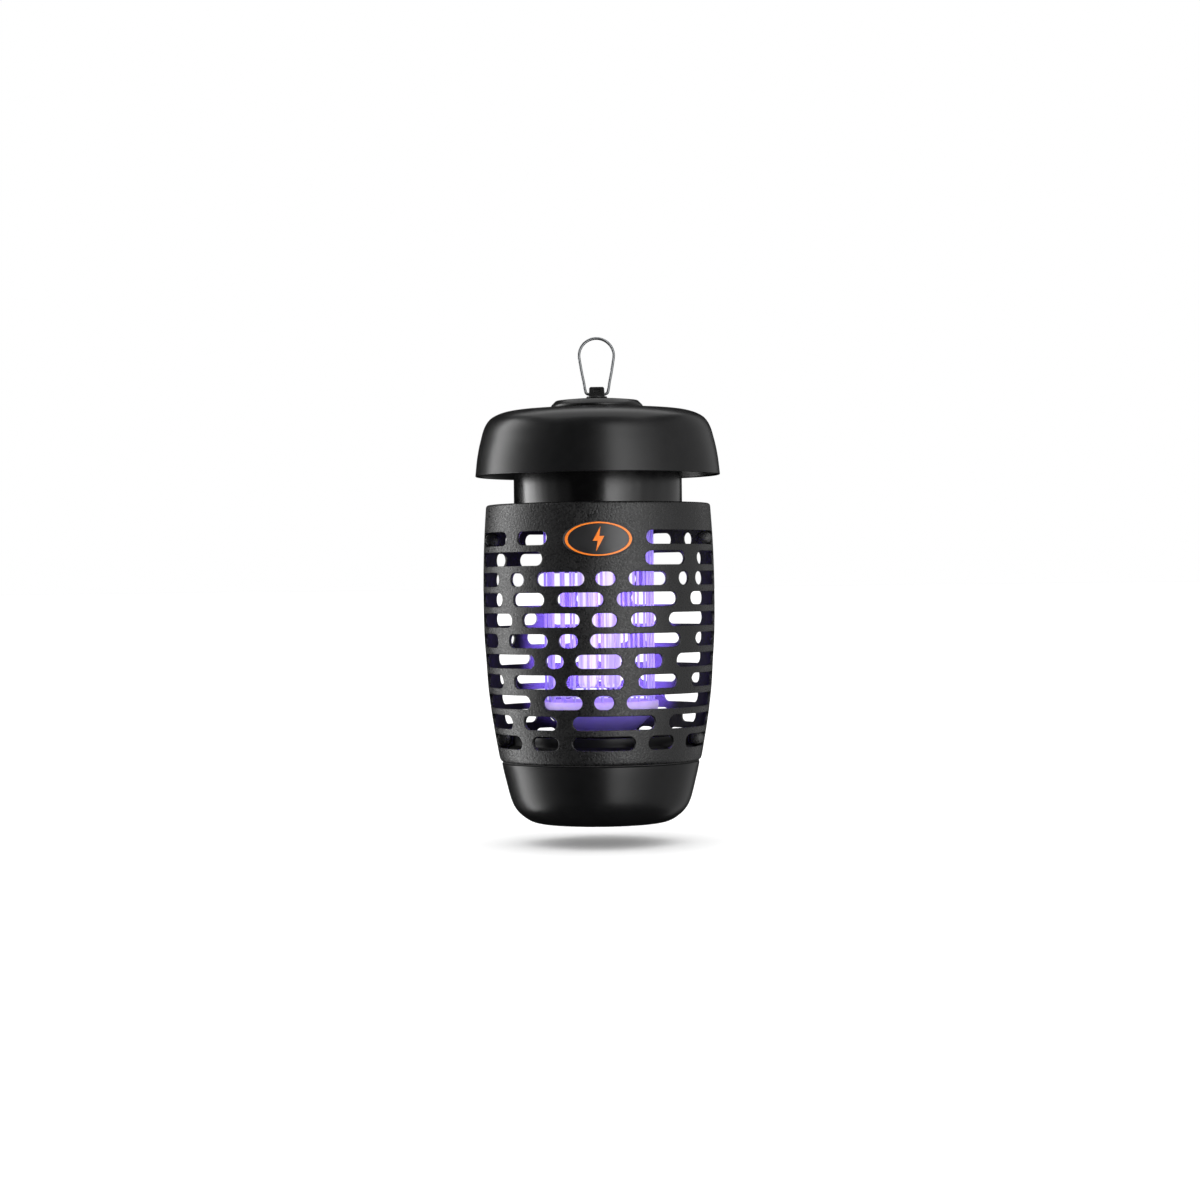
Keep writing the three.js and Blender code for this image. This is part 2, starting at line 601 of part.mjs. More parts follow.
// The whole shell, with its roof round the neck and the thread ribs inside its lower edge.
function guardShell() {
  const roofZ = FLOOR_TOP_Z + GAP;
  const wall = GUARD_OUTSIDE.filter(([, z]) => z < roofZ).reverse();
  const inside = wall.map(([radius, z]) => [radius - WALL, z]);
  const hole = NECK_RADIUS + 0.5;
  const shell = turned([
    ...GUARD_OUTSIDE, [hole, GUARD_TOP_Z], [hole, roofZ], [71, roofZ], ...inside,
    GUARD_OUTSIDE[0],
  ], 24);
  const ribs = THIRDS.map((start) => {
    const top = (azimuth) => THREAD_LUG_Z - GAP + THREAD_RISE * (azimuth - start);
    return sector(start - 16, start + 12, RIB_RADIUS, 65, (a) => top(a) - 1.8, top);
  });
  return cut(shell, [], ribs);
}

function slotCutters(rows, front) {
  const cutters = [];
  rows.forEach((row, k) => {
    const middle = FIRST_ROW_Z - ROW_PITCH * k;
    for (const [from, to] of row) {
      const chamfer = Math.min(2, (to - from) / 3);
      const inner = azimuths(from + chamfer, to - chamfer, 40);
      const outlines = [from, ...inner, to].map((angle) => {
        const half = angle === from || angle === to ? 0.2 * SLOT_HEIGHT : 0.5 * SLOT_HEIGHT;
        const azimuth = front ? angle : 180 - angle;
        return [
          polar(58, azimuth, middle - half), polar(84, azimuth, middle - half),
          polar(84, azimuth, middle + half), polar(58, azimuth, middle + half),
        ];
      });
      cutters.push(skinned(front ? outlines : outlines.reverse()));
    }
  });
  return cutters;
}

// Bosses at the joint between the halves, with their axes along Y.
function bosses(depth) {
  const pieces = [];
  const holes = [];
  for (const side of [-1, 1]) {
    for (const { x, z } of [TOP_BOSS, LOW_BOSS]) {
      const [y0, y1] = depth < 0 ? [depth, -0.15] : [0.15, depth];
      const boss = rod(BOSS_RADIUS, y0, y1, 0, 0, 12).rotateX(-Math.PI / 2);
      pieces.push(boss.translate(side * x, 0, z));
      const hole = rod(1.7, y0 - 2, y1 + 2, 0, 0, 8).rotateX(-Math.PI / 2);
      holes.push(hole.translate(side * x, 0, z));
      if (depth > 0) {
        const counterbore = rod(3.4, SCREW_SEAT_Y, 50, 0, 0, 10).rotateX(-Math.PI / 2);
        holes.push(counterbore.translate(side * x, 0, z));
      }
    }
  }
  return { pieces, holes };
}

function guardHalf(name, rows, front) {
  const away = block(200, 100, 0, 300, 0, front ? 50 - 0.15 : -50 + 0.15);
  const { pieces, holes } = bosses(front ? -9 : 17);
  const half = cut(guardShell(), [away, ...slotCutters(rows, front)]);
  addPart(name, cut(half, holes, pieces), MATT_BLACK);
}

function makeGuard() {
  guardHalf('guard_front', FRONT_SLOTS, true);
  guardHalf('guard_back', BACK_SLOTS, false);
  for (const side of [-1, 1]) {
    for (const [height, { x, z }] of [['upper', TOP_BOSS], ['lower', LOW_BOSS]]) {
      const part = screw(3, 1.9, 1.4, SCREW_SEAT_Y + GAP, -7);
      part.rotateX(-Math.PI / 2).translate(side * x, 0, z);
      addPart(`guard_screw_${height}_${side < 0 ? 'left' : 'right'}`, part, ZINC);
    }
  }
}

// An oval plate that follows the guard's front, with a lightning bolt raised on it.
function makeBadge() {
  const { halfAngle, halfHeight, middle } = BADGE;
  const columns = azimuths(-halfAngle, halfAngle, 5.8).map((azimuth) => {
    const reach = Math.sqrt(Math.max(0.04, 1 - (azimuth / halfAngle) ** 2));
    const [low, high] = [middle - halfHeight * reach, middle + halfHeight * reach];
    const [rLow, rHigh] = [guardRadius(low) + 0.45, guardRadius(high) + 0.45];
    return [
      polar(rLow, azimuth, low), polar(rLow + 1, azimuth, low),
      polar(rHigh + 1, azimuth, high), polar(rHigh, azimuth, high),
    ];
  });
  addPart('badge_plate', skinned(columns), SATIN_BLACK);
  const bolt = new THREE.Shape();
  const outline = [[1.4, 8], [-3.6, -1.2], [-0.5, -1.2], [-1.6, -8], [3.8, 1.8], [0.6, 1.8]];
  outline.forEach(([x, z], i) => (i === 0 ? bolt.moveTo(x, z) : bolt.lineTo(x, z)));
  const shape = new THREE.ExtrudeGeometry(bolt, { depth: 0.8, bevelEnabled: false });
  shape.rotateX(Math.PI / 2 - 0.055).translate(0, -guardRadius(middle) - 1.85, middle);
  addPart('badge_bolt', shape, ORANGE);
}

// ---------------------------------------------------------------- catch tray

function makeTray() {
  const outside = [
    [38, 0], [46, 1.6], [50.9, 4.6], [54.4, 7.6], [57.7, 12.4], [60.2, 20.3], [62.8, 30.8],
    [64.6, TRAY_RIM_Z],
  ];
  const bowl = turned([
    [0, 0], ...outside, [COLLAR_RADIUS, TRAY_RIM_Z], [COLLAR_RADIUS, COLLAR_TOP_Z],
    [SKIRT_RADIUS, COLLAR_TOP_Z + 1.8], [SKIRT_RADIUS, SKIRT_TOP_Z],
    [SKIRT_RADIUS - 1.8, SKIRT_TOP_Z], [SKIRT_RADIUS - 1.8, COLLAR_TOP_Z + 0.6],
    [COLLAR_RADIUS - 2, COLLAR_TOP_Z - 1.2], [COLLAR_RADIUS - 2, 30.8], [58, 20.3],
    [55.5, 12.8], [49.4, 6.2], [38, 2.4], [0, 2.4],
  ], 32);
  const lugs = THIRDS.map((start) => {
    const lower = (azimuth) => THREAD_LUG_Z + THREAD_RISE * (azimuth - start);
    return sector(start - 12, start + 12, 59.5, LUG_RADIUS, lower, (a) => lower(a) + 2);
  });
  addPart('tray', cut(bowl, [], lugs), SATIN_BLACK);
  addPart('tray_seal', ring(61.2, 64.2, TRAY_RIM_Z + GAP, GUARD_BOTTOM_Z - GAP, 32), RUBBER);
}

// ---------------------------------------------------------------- assembly

makeHangingParts();
makeHood();
makeNeck();
makeInlet();
makeBoard();
makeBoardParts();
makeLamp();
makeGrid();
makeGridLeads();
makeGuard();
makeBadge();
makeTray();

export default group;
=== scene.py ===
# Looks of the hanging bug zapper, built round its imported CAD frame. The scene and its lights are in
# metres. Profiles and the pieces' own sizes are in millimetres, which MM converts, and angles are
# in degrees. Azimuth 0 is the front of the zapper and 90 its right.
import math
from math import radians

import bmesh
import bpy
from mathutils import Matrix, Vector


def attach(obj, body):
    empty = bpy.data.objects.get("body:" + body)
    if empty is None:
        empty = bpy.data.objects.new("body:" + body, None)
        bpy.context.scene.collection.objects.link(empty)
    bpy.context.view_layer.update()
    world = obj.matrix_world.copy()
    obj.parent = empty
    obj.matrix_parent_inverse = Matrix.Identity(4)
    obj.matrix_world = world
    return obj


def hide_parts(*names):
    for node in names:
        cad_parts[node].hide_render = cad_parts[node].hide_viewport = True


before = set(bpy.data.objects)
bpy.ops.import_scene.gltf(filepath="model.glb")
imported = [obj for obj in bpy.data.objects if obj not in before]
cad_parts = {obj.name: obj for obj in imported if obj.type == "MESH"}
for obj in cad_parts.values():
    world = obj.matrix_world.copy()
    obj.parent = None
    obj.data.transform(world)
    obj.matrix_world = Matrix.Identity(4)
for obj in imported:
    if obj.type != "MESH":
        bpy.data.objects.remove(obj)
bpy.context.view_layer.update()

MM = 0.001
ON_AXIS = 1e-6  # a smaller radius counts as a point on the axis
LIE_ALONG_Y = Matrix.Rotation(radians(-90), 4, "X")
LIE_ALONG_X = Matrix.Rotation(radians(90), 4, "Y")
THIRDS = (0, 120, 240)  # azimuths of things that come in threes


# ---- mesh helpers

def add_object(name, data):
    obj = bpy.data.objects.new(name, data)
    bpy.context.scene.collection.objects.link(obj)
    return obj


def new_object(name, bm, smooth=True):
    """Turns a bmesh in metres into an object with tidy normals."""
    bmesh.ops.recalc_face_normals(bm, faces=bm.faces)
    mesh = bpy.data.meshes.new(name)
    bm.to_mesh(mesh)
    bm.free()
    for polygon in mesh.polygons:
        polygon.use_smooth = smooth
    return add_object(name, mesh)


def place(obj, material, *nodes, slot, body="housing"):
    """Gives a piece its material and body, and hides the CAD nodes that it stands for. The slot is
    not used.
    """
    obj.data.materials.clear()
    obj.data.materials.append(material)
    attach(obj, body)
    if nodes:
        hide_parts(*nodes)


def arc(centre_r, centre_z, radius, start, end, steps):
    """Points [r, z] on an arc, from one angle to another in degrees."""
    points = []
    for i in range(steps + 1):
        angle = radians(start + (end - start) * i / steps)
        points.append((centre_r + radius * math.cos(angle), centre_z + radius * math.sin(angle)))
    return points


def flowing(points, steps):
    """A smooth run of points through the given ones (centripetal Catmull-Rom)."""
    first = [2 * points[0][k] - points[1][k] for k in range(2)]
    last = [2 * points[-1][k] - points[-2][k] for k in range(2)]
    run = [Vector(first), *(Vector(p) for p in points), Vector(last)]
    made = []
    for p0, p1, p2, p3 in zip(run, run[1:], run[2:], run[3:]):
        t1 = (p1 - p0).length ** 0.5
        t2 = t1 + (p2 - p1).length ** 0.5
        t3 = t2 + (p3 - p2).length ** 0.5
        for i in range(steps):
            t = t1 + (t2 - t1) * i / steps
            a1 = p0 * ((t1 - t) / t1) + p1 * (t / t1)
            a2 = p1 * ((t2 - t) / (t2 - t1)) + p2 * ((t - t1) / (t2 - t1))
            a3 = p2 * ((t3 - t) / (t3 - t2)) + p3 * ((t - t2) / (t3 - t2))
            b1 = a1 * ((t2 - t) / t2) + a2 * (t / t2)
            b2 = a2 * ((t3 - t) / (t3 - t1)) + a3 * ((t - t1) / (t3 - t1))
            made.append(tuple(b1 * ((t2 - t) / (t2 - t1)) + b2 * ((t - t1) / (t2 - t1))))
    made.append(tuple(points[-1]))
    return made


def join_rings(bm, rings, closed):
    """Faces between rings of vertices, where a ring may be a single point. If closed, the last
    ring is joined to the first too."""
    pairs = list(zip(rings, rings[1:]))
    if closed:
        pairs.append((rings[-1], rings[0]))
    steps = max(len(ring) for ring in rings)
    for one, two in pairs:
        for i in range(steps):
            j = (i + 1) % steps
            corners = [one[i % len(one)], one[j % len(one)], two[j % len(two)], two[i % len(two)]]
            bm.faces.new(list(dict.fromkeys(corners)))


def turn(bm, profile, steps, closed=False, matrix=None, shift=None):
    """Adds a surface turned about Z to a bmesh. The profile is [r, z] in mm, and a point on the
    axis closes the surface there. shift(azimuth, z) may add to a point's radius, in mm."""
    rings = []
    for radius, z in profile:
        if radius < ON_AXIS:
            rings.append([bm.verts.new((0, 0, z * MM))])
            continue
        ring = []
        for i in range(steps):
            angle = 2 * math.pi * i / steps
            reach = (radius + (shift(math.degrees(angle), z) if shift else 0)) * MM
            ring.append(bm.verts.new((reach * math.sin(angle), -reach * math.cos(angle), z * MM)))
        rings.append(ring)
    join_rings(bm, rings, closed)
    if matrix is not None:
        bmesh.ops.transform(bm, matrix=matrix, verts=[v for ring in rings for v in ring])


def turned(name, profile, steps, closed=False, matrix=None, shift=None):
    """An object of one turned surface."""
    bm = bmesh.new()
    turn(bm, profile, steps, closed, matrix, shift)
    return new_object(name, bm)


def shift_by(x, y, z):
    """A translation given in mm."""
    return Matrix.Translation((x * MM, y * MM, z * MM))


def shift_round(radius, azimuth):
    """A translation in mm to a point at an azimuth round the axis."""
    angle = radians(azimuth)
    return shift_by(radius * math.sin(angle), -radius * math.cos(angle), 0)


def add_solid(bm, rings):
    """A closed solid along rings of vertices, with its two ends capped."""
    join_rings(bm, rings, False)
    bm.faces.new(rings[0])
    bm.faces.new(rings[-1])


def evaluated_mesh(obj):
    """A new mesh of an object with its modifiers or bevel applied."""
    bpy.context.view_layer.update()
    graph = bpy.context.evaluated_depsgraph_get()
    return bpy.data.meshes.new_from_object(obj.evaluated_get(graph))


def swept_wire(name, points, radius, sides):
    """A round wire along points given in mm, with its ends closed."""
    curve = bpy.data.curves.new(name, "CURVE")
    curve.dimensions = "3D"
    curve.bevel_depth = radius * MM
    curve.bevel_resolution = max(1, sides // 4 - 1)
    curve.use_fill_caps = True
    spline = curve.splines.new("POLY")
    spline.points.add(len(points) - 1)
    for point, (x, y, z) in zip(spline.points, points):
        point.co = (x * MM, y * MM, z * MM, 1)
    holder = add_object(name, curve)
    mesh = evaluated_mesh(holder)
    bpy.data.objects.remove(holder)
    for polygon in mesh.polygons:
        polygon.use_smooth = True
    return add_object(name, mesh)


def apply_modifiers(obj):
    """Bakes an object's modifiers into its mesh."""
    mesh = evaluated_mesh(obj)
    obj.modifiers.clear()
    obj.data = mesh


def cut_with(obj, cutters):
    """Cuts other objects out of a piece, and removes them."""
    for cutter in cutters:
        modifier = obj.modifiers.new("cut", "BOOLEAN")
        modifier.operation = "DIFFERENCE"
        modifier.solver = "EXACT"
        modifier.object = cutter
    apply_modifiers(obj)
    for cutter in cutters:
        bpy.data.objects.remove(cutter)


def bevel(obj, width, segments, angle):
    """Rounds a piece's edges that are sharper than an angle. The width is in mm."""
    modifier = obj.modifiers.new("bevel", "BEVEL")
    modifier.width = width * MM
    modifier.segments = segments
    modifier.limit_method = "ANGLE"
    modifier.angle_limit = radians(angle)
    apply_modifiers(obj)


def join(obj, others):
    """Adds other objects' meshes to a piece as loose parts."""
    bm = bmesh.new()
    bm.from_mesh(obj.data)
    for other in others:
        bm.from_mesh(other.data)
        bpy.data.objects.remove(other)
    bm.to_mesh(obj.data)
    bm.free()


# ---- materials

class Nodes:
    """Short names for building a shader tree."""

    def __init__(self, name):
        self.material = bpy.data.materials.new(name)
        self.material.use_nodes = True
        self.tree = self.material.node_tree
        self.tree.nodes.clear()
        output = self.add("ShaderNodeOutputMaterial")
        self.shader = self.add("ShaderNodeBsdfPrincipled")
        self.link(self.shader.outputs[0], output.inputs["Surface"])
        self.coords = self.add("ShaderNodeTexCoord").outputs["Object"]

    def add(self, kind, inputs=None, **values):
        node = self.tree.nodes.new(kind)
        for key, value in values.items():
            setattr(node, key, value)
        for key, value in (inputs or {}).items():
            node.inputs[key].default_value = value
        return node

    def link(self, source, target):
        self.tree.links.new(source, target)

    def feed(self, name, source):
        self.link(source, self.shader.inputs[name])

    def set(self, **values):
        """Sets inputs of the shader, with _ for each space in an input's name."""
        for key, value in values.items():
            self.shader.inputs[key.replace("_", " ")].default_value = value

    def noise(self, size, detail, stretch=None):
        """Noise whose lumps are about `size` mm across. A small stretch along an axis draws the
        lumps out that way."""
        source = self.coords
        if stretch:
            mapping = self.add("ShaderNodeMapping", {"Scale": stretch})
            self.link(source, mapping.inputs["Vector"])
            source = mapping.outputs[0]
        node = self.add("ShaderNodeTexNoise",
                        {"Scale": 1 / (size * MM), "Detail": detail, "Roughness": 0.55})
        self.link(source, node.inputs["Vector"])
        return node.outputs["Fac"]

    def spread(self, source, low, high, start=0.3, end=0.7):
        """Maps a value from start..end to low..high, and holds it there beyond them."""
        node = self.add("ShaderNodeMapRange",
                        {"From Min": start, "From Max": end, "To Min": low, "To Max": high})
        self.link(source, node.inputs["Value"])
        return node.outputs[0]

    def sum(self, one, two):
        node = self.add("ShaderNodeMath", operation="ADD")
        self.link(one, node.inputs[0])
        self.link(two, node.inputs[1])
        return node.outputs[0]

    def mix(self, amount, one, two):
        """A colour between two others. Each is a colour or a socket."""
        node = self.add("ShaderNodeMix", data_type="RGBA")
        self.link(amount, node.inputs["Factor"])
        for value, socket in ((one, node.inputs["A"]), (two, node.inputs["B"])):
            if isinstance(value, tuple):
                socket.default_value = (*value, 1)
            else:
                self.link(value, socket)
        return node.outputs["Result"]

    def bump(self, height, depth, under=None):
        """Adds relief `depth` mm deep, on top of another normal if given. Returns the normal."""
        node = self.add("ShaderNodeBump", {"Strength": 1.0, "Distance": depth * MM})
        self.link(height, node.inputs["Height"])
        if under:
            self.link(under, node.inputs["Normal"])
        return node.outputs[0]

    def edges(self):
        """1 on outside edges, 0 on flats."""
        pointiness = self.add("ShaderNodeNewGeometry").outputs["Pointiness"]
        return self.spread(pointiness, 0, 1, 0.52, 0.6)


def scaled(colour, factor):
    """A lighter or darker colour, with no channel over 1."""
    return tuple(min(1.0, channel * factor) for channel in colour)


FLOW_MARKS = 0.03  # depth of the flow marks in moulded plastic, in mm


def moulded(name, colour, roughness, grain, depth, wear=1.6, uneven=1.0, shine=0.5, speckle=0.0):
    """Injection-moulded plastic: grain of a size and depth in mm, faint flow marks, and worn edges
    that are paler by `wear`. `uneven` and `speckle` vary the gloss in patches and in the grain."""
    n = Nodes(name)
    grain_noise = n.noise(grain, 3.0)
    flow = n.noise(22, 2.0)
    patch = n.noise(9, 4.0)
    normal = n.bump(grain_noise, depth)
    normal = n.bump(flow, FLOW_MARKS, under=normal)
    n.feed("Normal", normal)
    body = n.mix(n.spread(patch, 0, 1), scaled(colour, 0.86), scaled(colour, 1.12))
    worn = n.mix(n.edges(), body, scaled(colour, wear))
    n.feed("Base Color", worn)
    dull = n.spread(patch, roughness - 0.035 * uneven, roughness + 0.045 * uneven)
    if speckle:
        dull = n.sum(dull, n.spread(grain_noise, -speckle, speckle, 0.38, 0.62))
    n.feed("Roughness", dull)
    n.set(Specular_IOR_Level=shine)
    return n.material


def lit_dish(name, colour, glow_rim_colour, rim_start, rim_end):
    """Moulded plastic with the lamp's light painted on: paler toward its rim, between two heights in
    mm.
    """
    n = Nodes(name)
    patch = n.noise(6, 3.0)
    height = n.add("ShaderNodeSeparateXYZ")
    n.link(n.coords, height.inputs[0])
    # Painted light: the colour pales toward the rim with height, where the lamp shines on it.
    rise = n.spread(height.outputs["Z"], 0, 1, rim_start * MM, rim_end * MM)
    body = n.mix(rise, colour, glow_rim_colour)
    cloudy = n.mix(n.spread(patch, 0, 0.14), body, (0.2, 0.15, 0.5))
    n.feed("Base Color", cloudy)
    n.feed("Normal", n.bump(n.noise(0.4, 3.0), 0.02))
    n.feed("Roughness", n.spread(patch, 0.46, 0.55))
    return n.material


def metal(name, colour, roughness, stretch=(1, 1, 0.08), depth=0.004, stain=0.75, metallic=1.0):
    """Drawn or plated metal: fine draw lines, patches darker by `stain`, and brighter edges."""
    n = Nodes(name)
    lines = n.noise(0.12, 3.0, stretch=stretch)
    patch = n.noise(3.5, 4.0)
    n.feed("Normal", n.bump(lines, depth))
    body = n.mix(n.spread(patch, 0, 1), scaled(colour, stain), colour)
    n.feed("Base Color", n.mix(n.edges(), body, scaled(colour, 1.15)))
    n.feed("Roughness", n.spread(patch, roughness - 0.05, roughness + 0.12))
    n.set(Metallic=metallic)
    return n.material


def glowing(name, colour, deep, pale, strength):
    """Coated lamp glass, lit from inside, with long pale streaks on a deeper colour."""
    n = Nodes(name)
    cloud = n.noise(16, 2.0)
    body = n.mix(n.spread(cloud, 0, 1), scaled(colour, 0.94), colour)
    n.feed("Base Color", body)
    streaks = n.noise(2.2, 2.0, stretch=(1, 1, 0.03))
    light = n.mix(n.spread(streaks, 0, 1, 0.4, 0.6), deep, pale)
    n.feed("Emission Color", light)
    n.feed("Normal", n.bump(n.noise(4, 2.0), 0.01))
    n.set(Emission_Strength=strength, Roughness=0.2)
    return n.material


def clear_glass(name):
    """Thin clear glass with faint waves."""
    n = Nodes(name)
    n.feed("Normal", n.bump(n.noise(5, 2.0), 0.01))
    n.feed("Roughness", n.spread(n.noise(3, 2.0), 0.03, 0.08))
    n.set(Transmission_Weight=0.9, IOR=1.48)
    return n.material


def board_laminate(name, colour):
    """A board with a faint weave and darker copper runs under its mask."""
    n = Nodes(name)
    weave = n.noise(0.5, 2.0, stretch=(1, 0.25, 1))
    runs = n.noise(7, 1.0, stretch=(0.3, 1, 1))
    body = n.mix(n.spread(runs, 0, 1, 0.47, 0.5), scaled(colour, 0.6), colour)
    n.feed("Base Color", body)
    n.feed("Normal", n.bump(weave, 0.02))
    n.feed("Roughness", n.spread(runs, 0.35, 0.5))
    return n.material


HOOD_BLACK = moulded("hood_satin", (0.0055, 0.0055, 0.0058), 0.3, grain=0.8, depth=0.006,
                     uneven=0.3, shine=0.27)
NECK_BLACK = moulded("neck_gloss", (0.004, 0.004, 0.0042), 0.2, grain=0.5, depth=0.004, wear=1.3)
GUARD_BLACK = moulded("guard_grain", (0.0075, 0.0075, 0.0078), 0.36, grain=1.2, depth=0.35,
                      shine=0.4, speckle=0.13)
# Darker and rougher than the outside: the darkness is painted shade inside the guard.
GUARD_INSIDE_SHADE = moulded("guard_inside_painted_shade", (0.0035, 0.0035, 0.0037), 0.62, grain=1.2, depth=0.2,
                       shine=0.15)
TRAY_BLACK = moulded("tray_satin", (0.0055, 0.0055, 0.0058), 0.3, grain=0.8, depth=0.006,
                     uneven=0.3, shine=0.22)
INSULATOR = moulded("insulator_violet", (0.36, 0.26, 0.85), 0.5, grain=0.4, depth=0.02)
# The dish's paler rim is painted lamp light.
DISH = lit_dish("dish_violet_painted_light", (0.33, 0.25, 1.0), (0.78, 0.68, 0.85), 71, 76)
BADGE_BLACK = moulded("badge_satin", (0.014, 0.014, 0.015), 0.35, grain=0.25, depth=0.01)
BADGE_ORANGE = moulded("badge_orange", (1.0, 0.22, 0.014), 0.42, grain=0.3, depth=0.008, wear=1.1)
RUBBER = moulded("black_rubber", (0.01, 0.01, 0.01), 0.72, grain=0.4, depth=0.03, wear=1.3)
WHITE = moulded("white_moulded", (0.78, 0.76, 0.7), 0.45, grain=0.4, depth=0.01, wear=1.05)
YELLOW = moulded("film_yellow", (0.67, 0.37, 0.012), 0.35, grain=0.6, depth=0.01, wear=1.1)
BLUE = moulded("sleeve_blue", (0.015, 0.04, 0.15), 0.3, grain=0.6, depth=0.01, wear=1.3)
TAPE = moulded("tape_yellow", (0.6, 0.46, 0.06), 0.45, grain=0.8, depth=0.03, wear=1.1)
RED_PVC = moulded("pvc_red", (0.35, 0.015, 0.01), 0.4, grain=0.5, depth=0.01, wear=1.1)
BLACK_PVC = moulded("pvc_black", (0.008, 0.008, 0.008), 0.42, grain=0.5, depth=0.01, wear=1.2)
LAMINATION = metal("core_steel", (0.14, 0.14, 0.15), 0.5, stretch=(1, 0.05, 1), depth=0.02)
LOOP_STEEL = metal("loop_wire", (0.17, 0.175, 0.18), 0.26, stretch=(1, 1, 1), depth=0.0006,
                   stain=0.9)
# Grey steel whose violet tint is painted light from the lamp.
GRID_STEEL = metal("grid_wire", (0.6, 0.54, 0.84), 0.4, metallic=0.1)
ZINC = metal("zinc_plate", (0.5, 0.5, 0.52), 0.36, stretch=(1, 1, 1))
LAMP_GLASS = glowing("lamp_glass", (0.3, 0.26, 0.36), (0.5, 0.37, 0.95), (1.0, 0.9, 1.0), 0.88)
FUSE_GLASS = clear_glass("fuse_glass")
BOARD = board_laminate("board_green", (0.02, 0.16, 0.05))


# ---- guard

FRONT, BACK = -1, 1  # which way a half of the guard faces along Y
GUARD_TOP = 207.7
GUARD_BOTTOM = 41.0
WALL = 2.2
ROOF_UNDERSIDE = 205.1
NECK_HOLE = 55.5  # radius of the hole in the guard's roof
FIRST_ROW = 185.1  # height of the middle of the top row of slots
ROW_PITCH = 13.04
SLOT_HALF = 4.4  # half of a slot's height
EDGE_ROUND = 0.45  # rounding of the slots' edges
EDGE_BAND = 0.5  # narrow ring of mesh outside the rounding, which keeps it crisp
AZIMUTH_STEP = 1.5  # grid of the guard's mesh
ROW_STEPS = 8  # steps of that grid in the height of a row
CELL_MARGIN = 3.0  # degrees that a slot's own patch of mesh reaches past it
HALF_SPAN = 89.88  # each half stops a hair short of the joint
SAME_LINE = 0.01  # azimuths closer than this are one line of the grid
BELOW_TAPER = 0.18  # the guard's side below its profile: mm inward for each mm down

GUARD_PROFILE = [
    (66.55, 45.5), (67.7, 51.7), (69.05, 59.6), (70.7, 70), (72.1, 80.5), (73.2, 91), (74.2, 107),
    (75.1, 120), (75.5, 133), (75.6, 146), (75.5, 159), (75.2, 172), (74.7, 185), (73.9, 198),
    (73.45, 204.5),
]

# Slots of each row from the top, as azimuths. 0 is the middle of the half.
FRONT_SLOTS = [
    [(-85.5, -52), (-43.5, -26), (24, 85.5)],
    [(-85.5, -28.5), (23, 47), (57, 85.5)],
    [(-85.5, -58), (-48, -39), (-31.5, -7), (-1.5, 8), (14.5, 35), (42.5, 49.5), (55, 85.5)],
    [(-85.5, -54.5), (-46, -27.5), (-20.5, 2), (8.5, 41), (50.5, 85.5)],
    [(-85.5, -47.5), (-40, -9.5), (-3.5, 8.5), (15.5, 29), (36, 85.5)],
    [(-85.5, -60), (-50, -26), (-20, -10.5), (-4.5, 43.5), (55, 85.5)],
    [(-85.5, -34), (-27.5, -18), (-12, 11), (17.5, 33), (41.5, 85.5)],
    [(-85.5, -57.5), (-48, -22.5), (-17, 12), (19.5, 42.5), (53, 85.5)],
    [(-85.5, -38), (-30, -9), (-3, 7), (13.5, 85.5)],
    [(-85.5, -53), (-43.5, -23), (-14.5, 30), (38.5, 85.5)],
    [(-85.5, -47.5), (-39, -23), (-15, 19), (26.5, 43), (53, 85.5)],
]
BACK_SLOTS = [
    [(-58.5, -51), (-42.5, -26), (-18, 20), (28.5, 42), (51, 58.5)],
    [(-67.5, -56.5), (-46, -12), (-4, 19), (28, 50.5), (61, 67.5)],
    [(-67.5, -42.5), (-34, -8), (-2, 20), (27, 37.5), (45.5, 67.5)],
    [(-67.5, -59), (-50, -20), (-12, 9), (17, 44.5), (54.5, 67.5)],
    [(-67.5, -34.5), (-26, -6), (2, 31.5), (38.5, 67.5)],
    [(-67.5, -50.5), (-41.5, -14), (-6, 16), (24, 47), (59, 67.5)],
    [(-67.5, -40), (-32, -10), (-2, 28), (35.5, 67.5)],
    [(-67.5, -61), (-51, -18), (-10, 14), (22, 45.5), (57, 67.5)],
    [(-67.5, -25.5), (-17, 5), (13, 29), (37.5, 67.5)],
    [(-67.5, -38.5), (-30, -2), (6, 22), (30.5, 42), (52, 67.5)],
    [(-57, -49), (-40.5, -26), (-18, 14), (22, 32.5), (43, 57)],
]

guard_curve = flowing(GUARD_PROFILE, 6)


def guard_radius(z):
    """Outside radius of the guard at a height, in mm."""
    if z <= guard_curve[0][1]:
        return guard_curve[0][0] - (guard_curve[0][1] - z) * BELOW_TAPER
    for (r0, z0), (r1, z1) in zip(guard_curve, guard_curve[1:]):
        if z <= z1:
            return r0 + (r1 - r0) * (z - z0) / (z1 - z0)
    return guard_curve[-1][0]


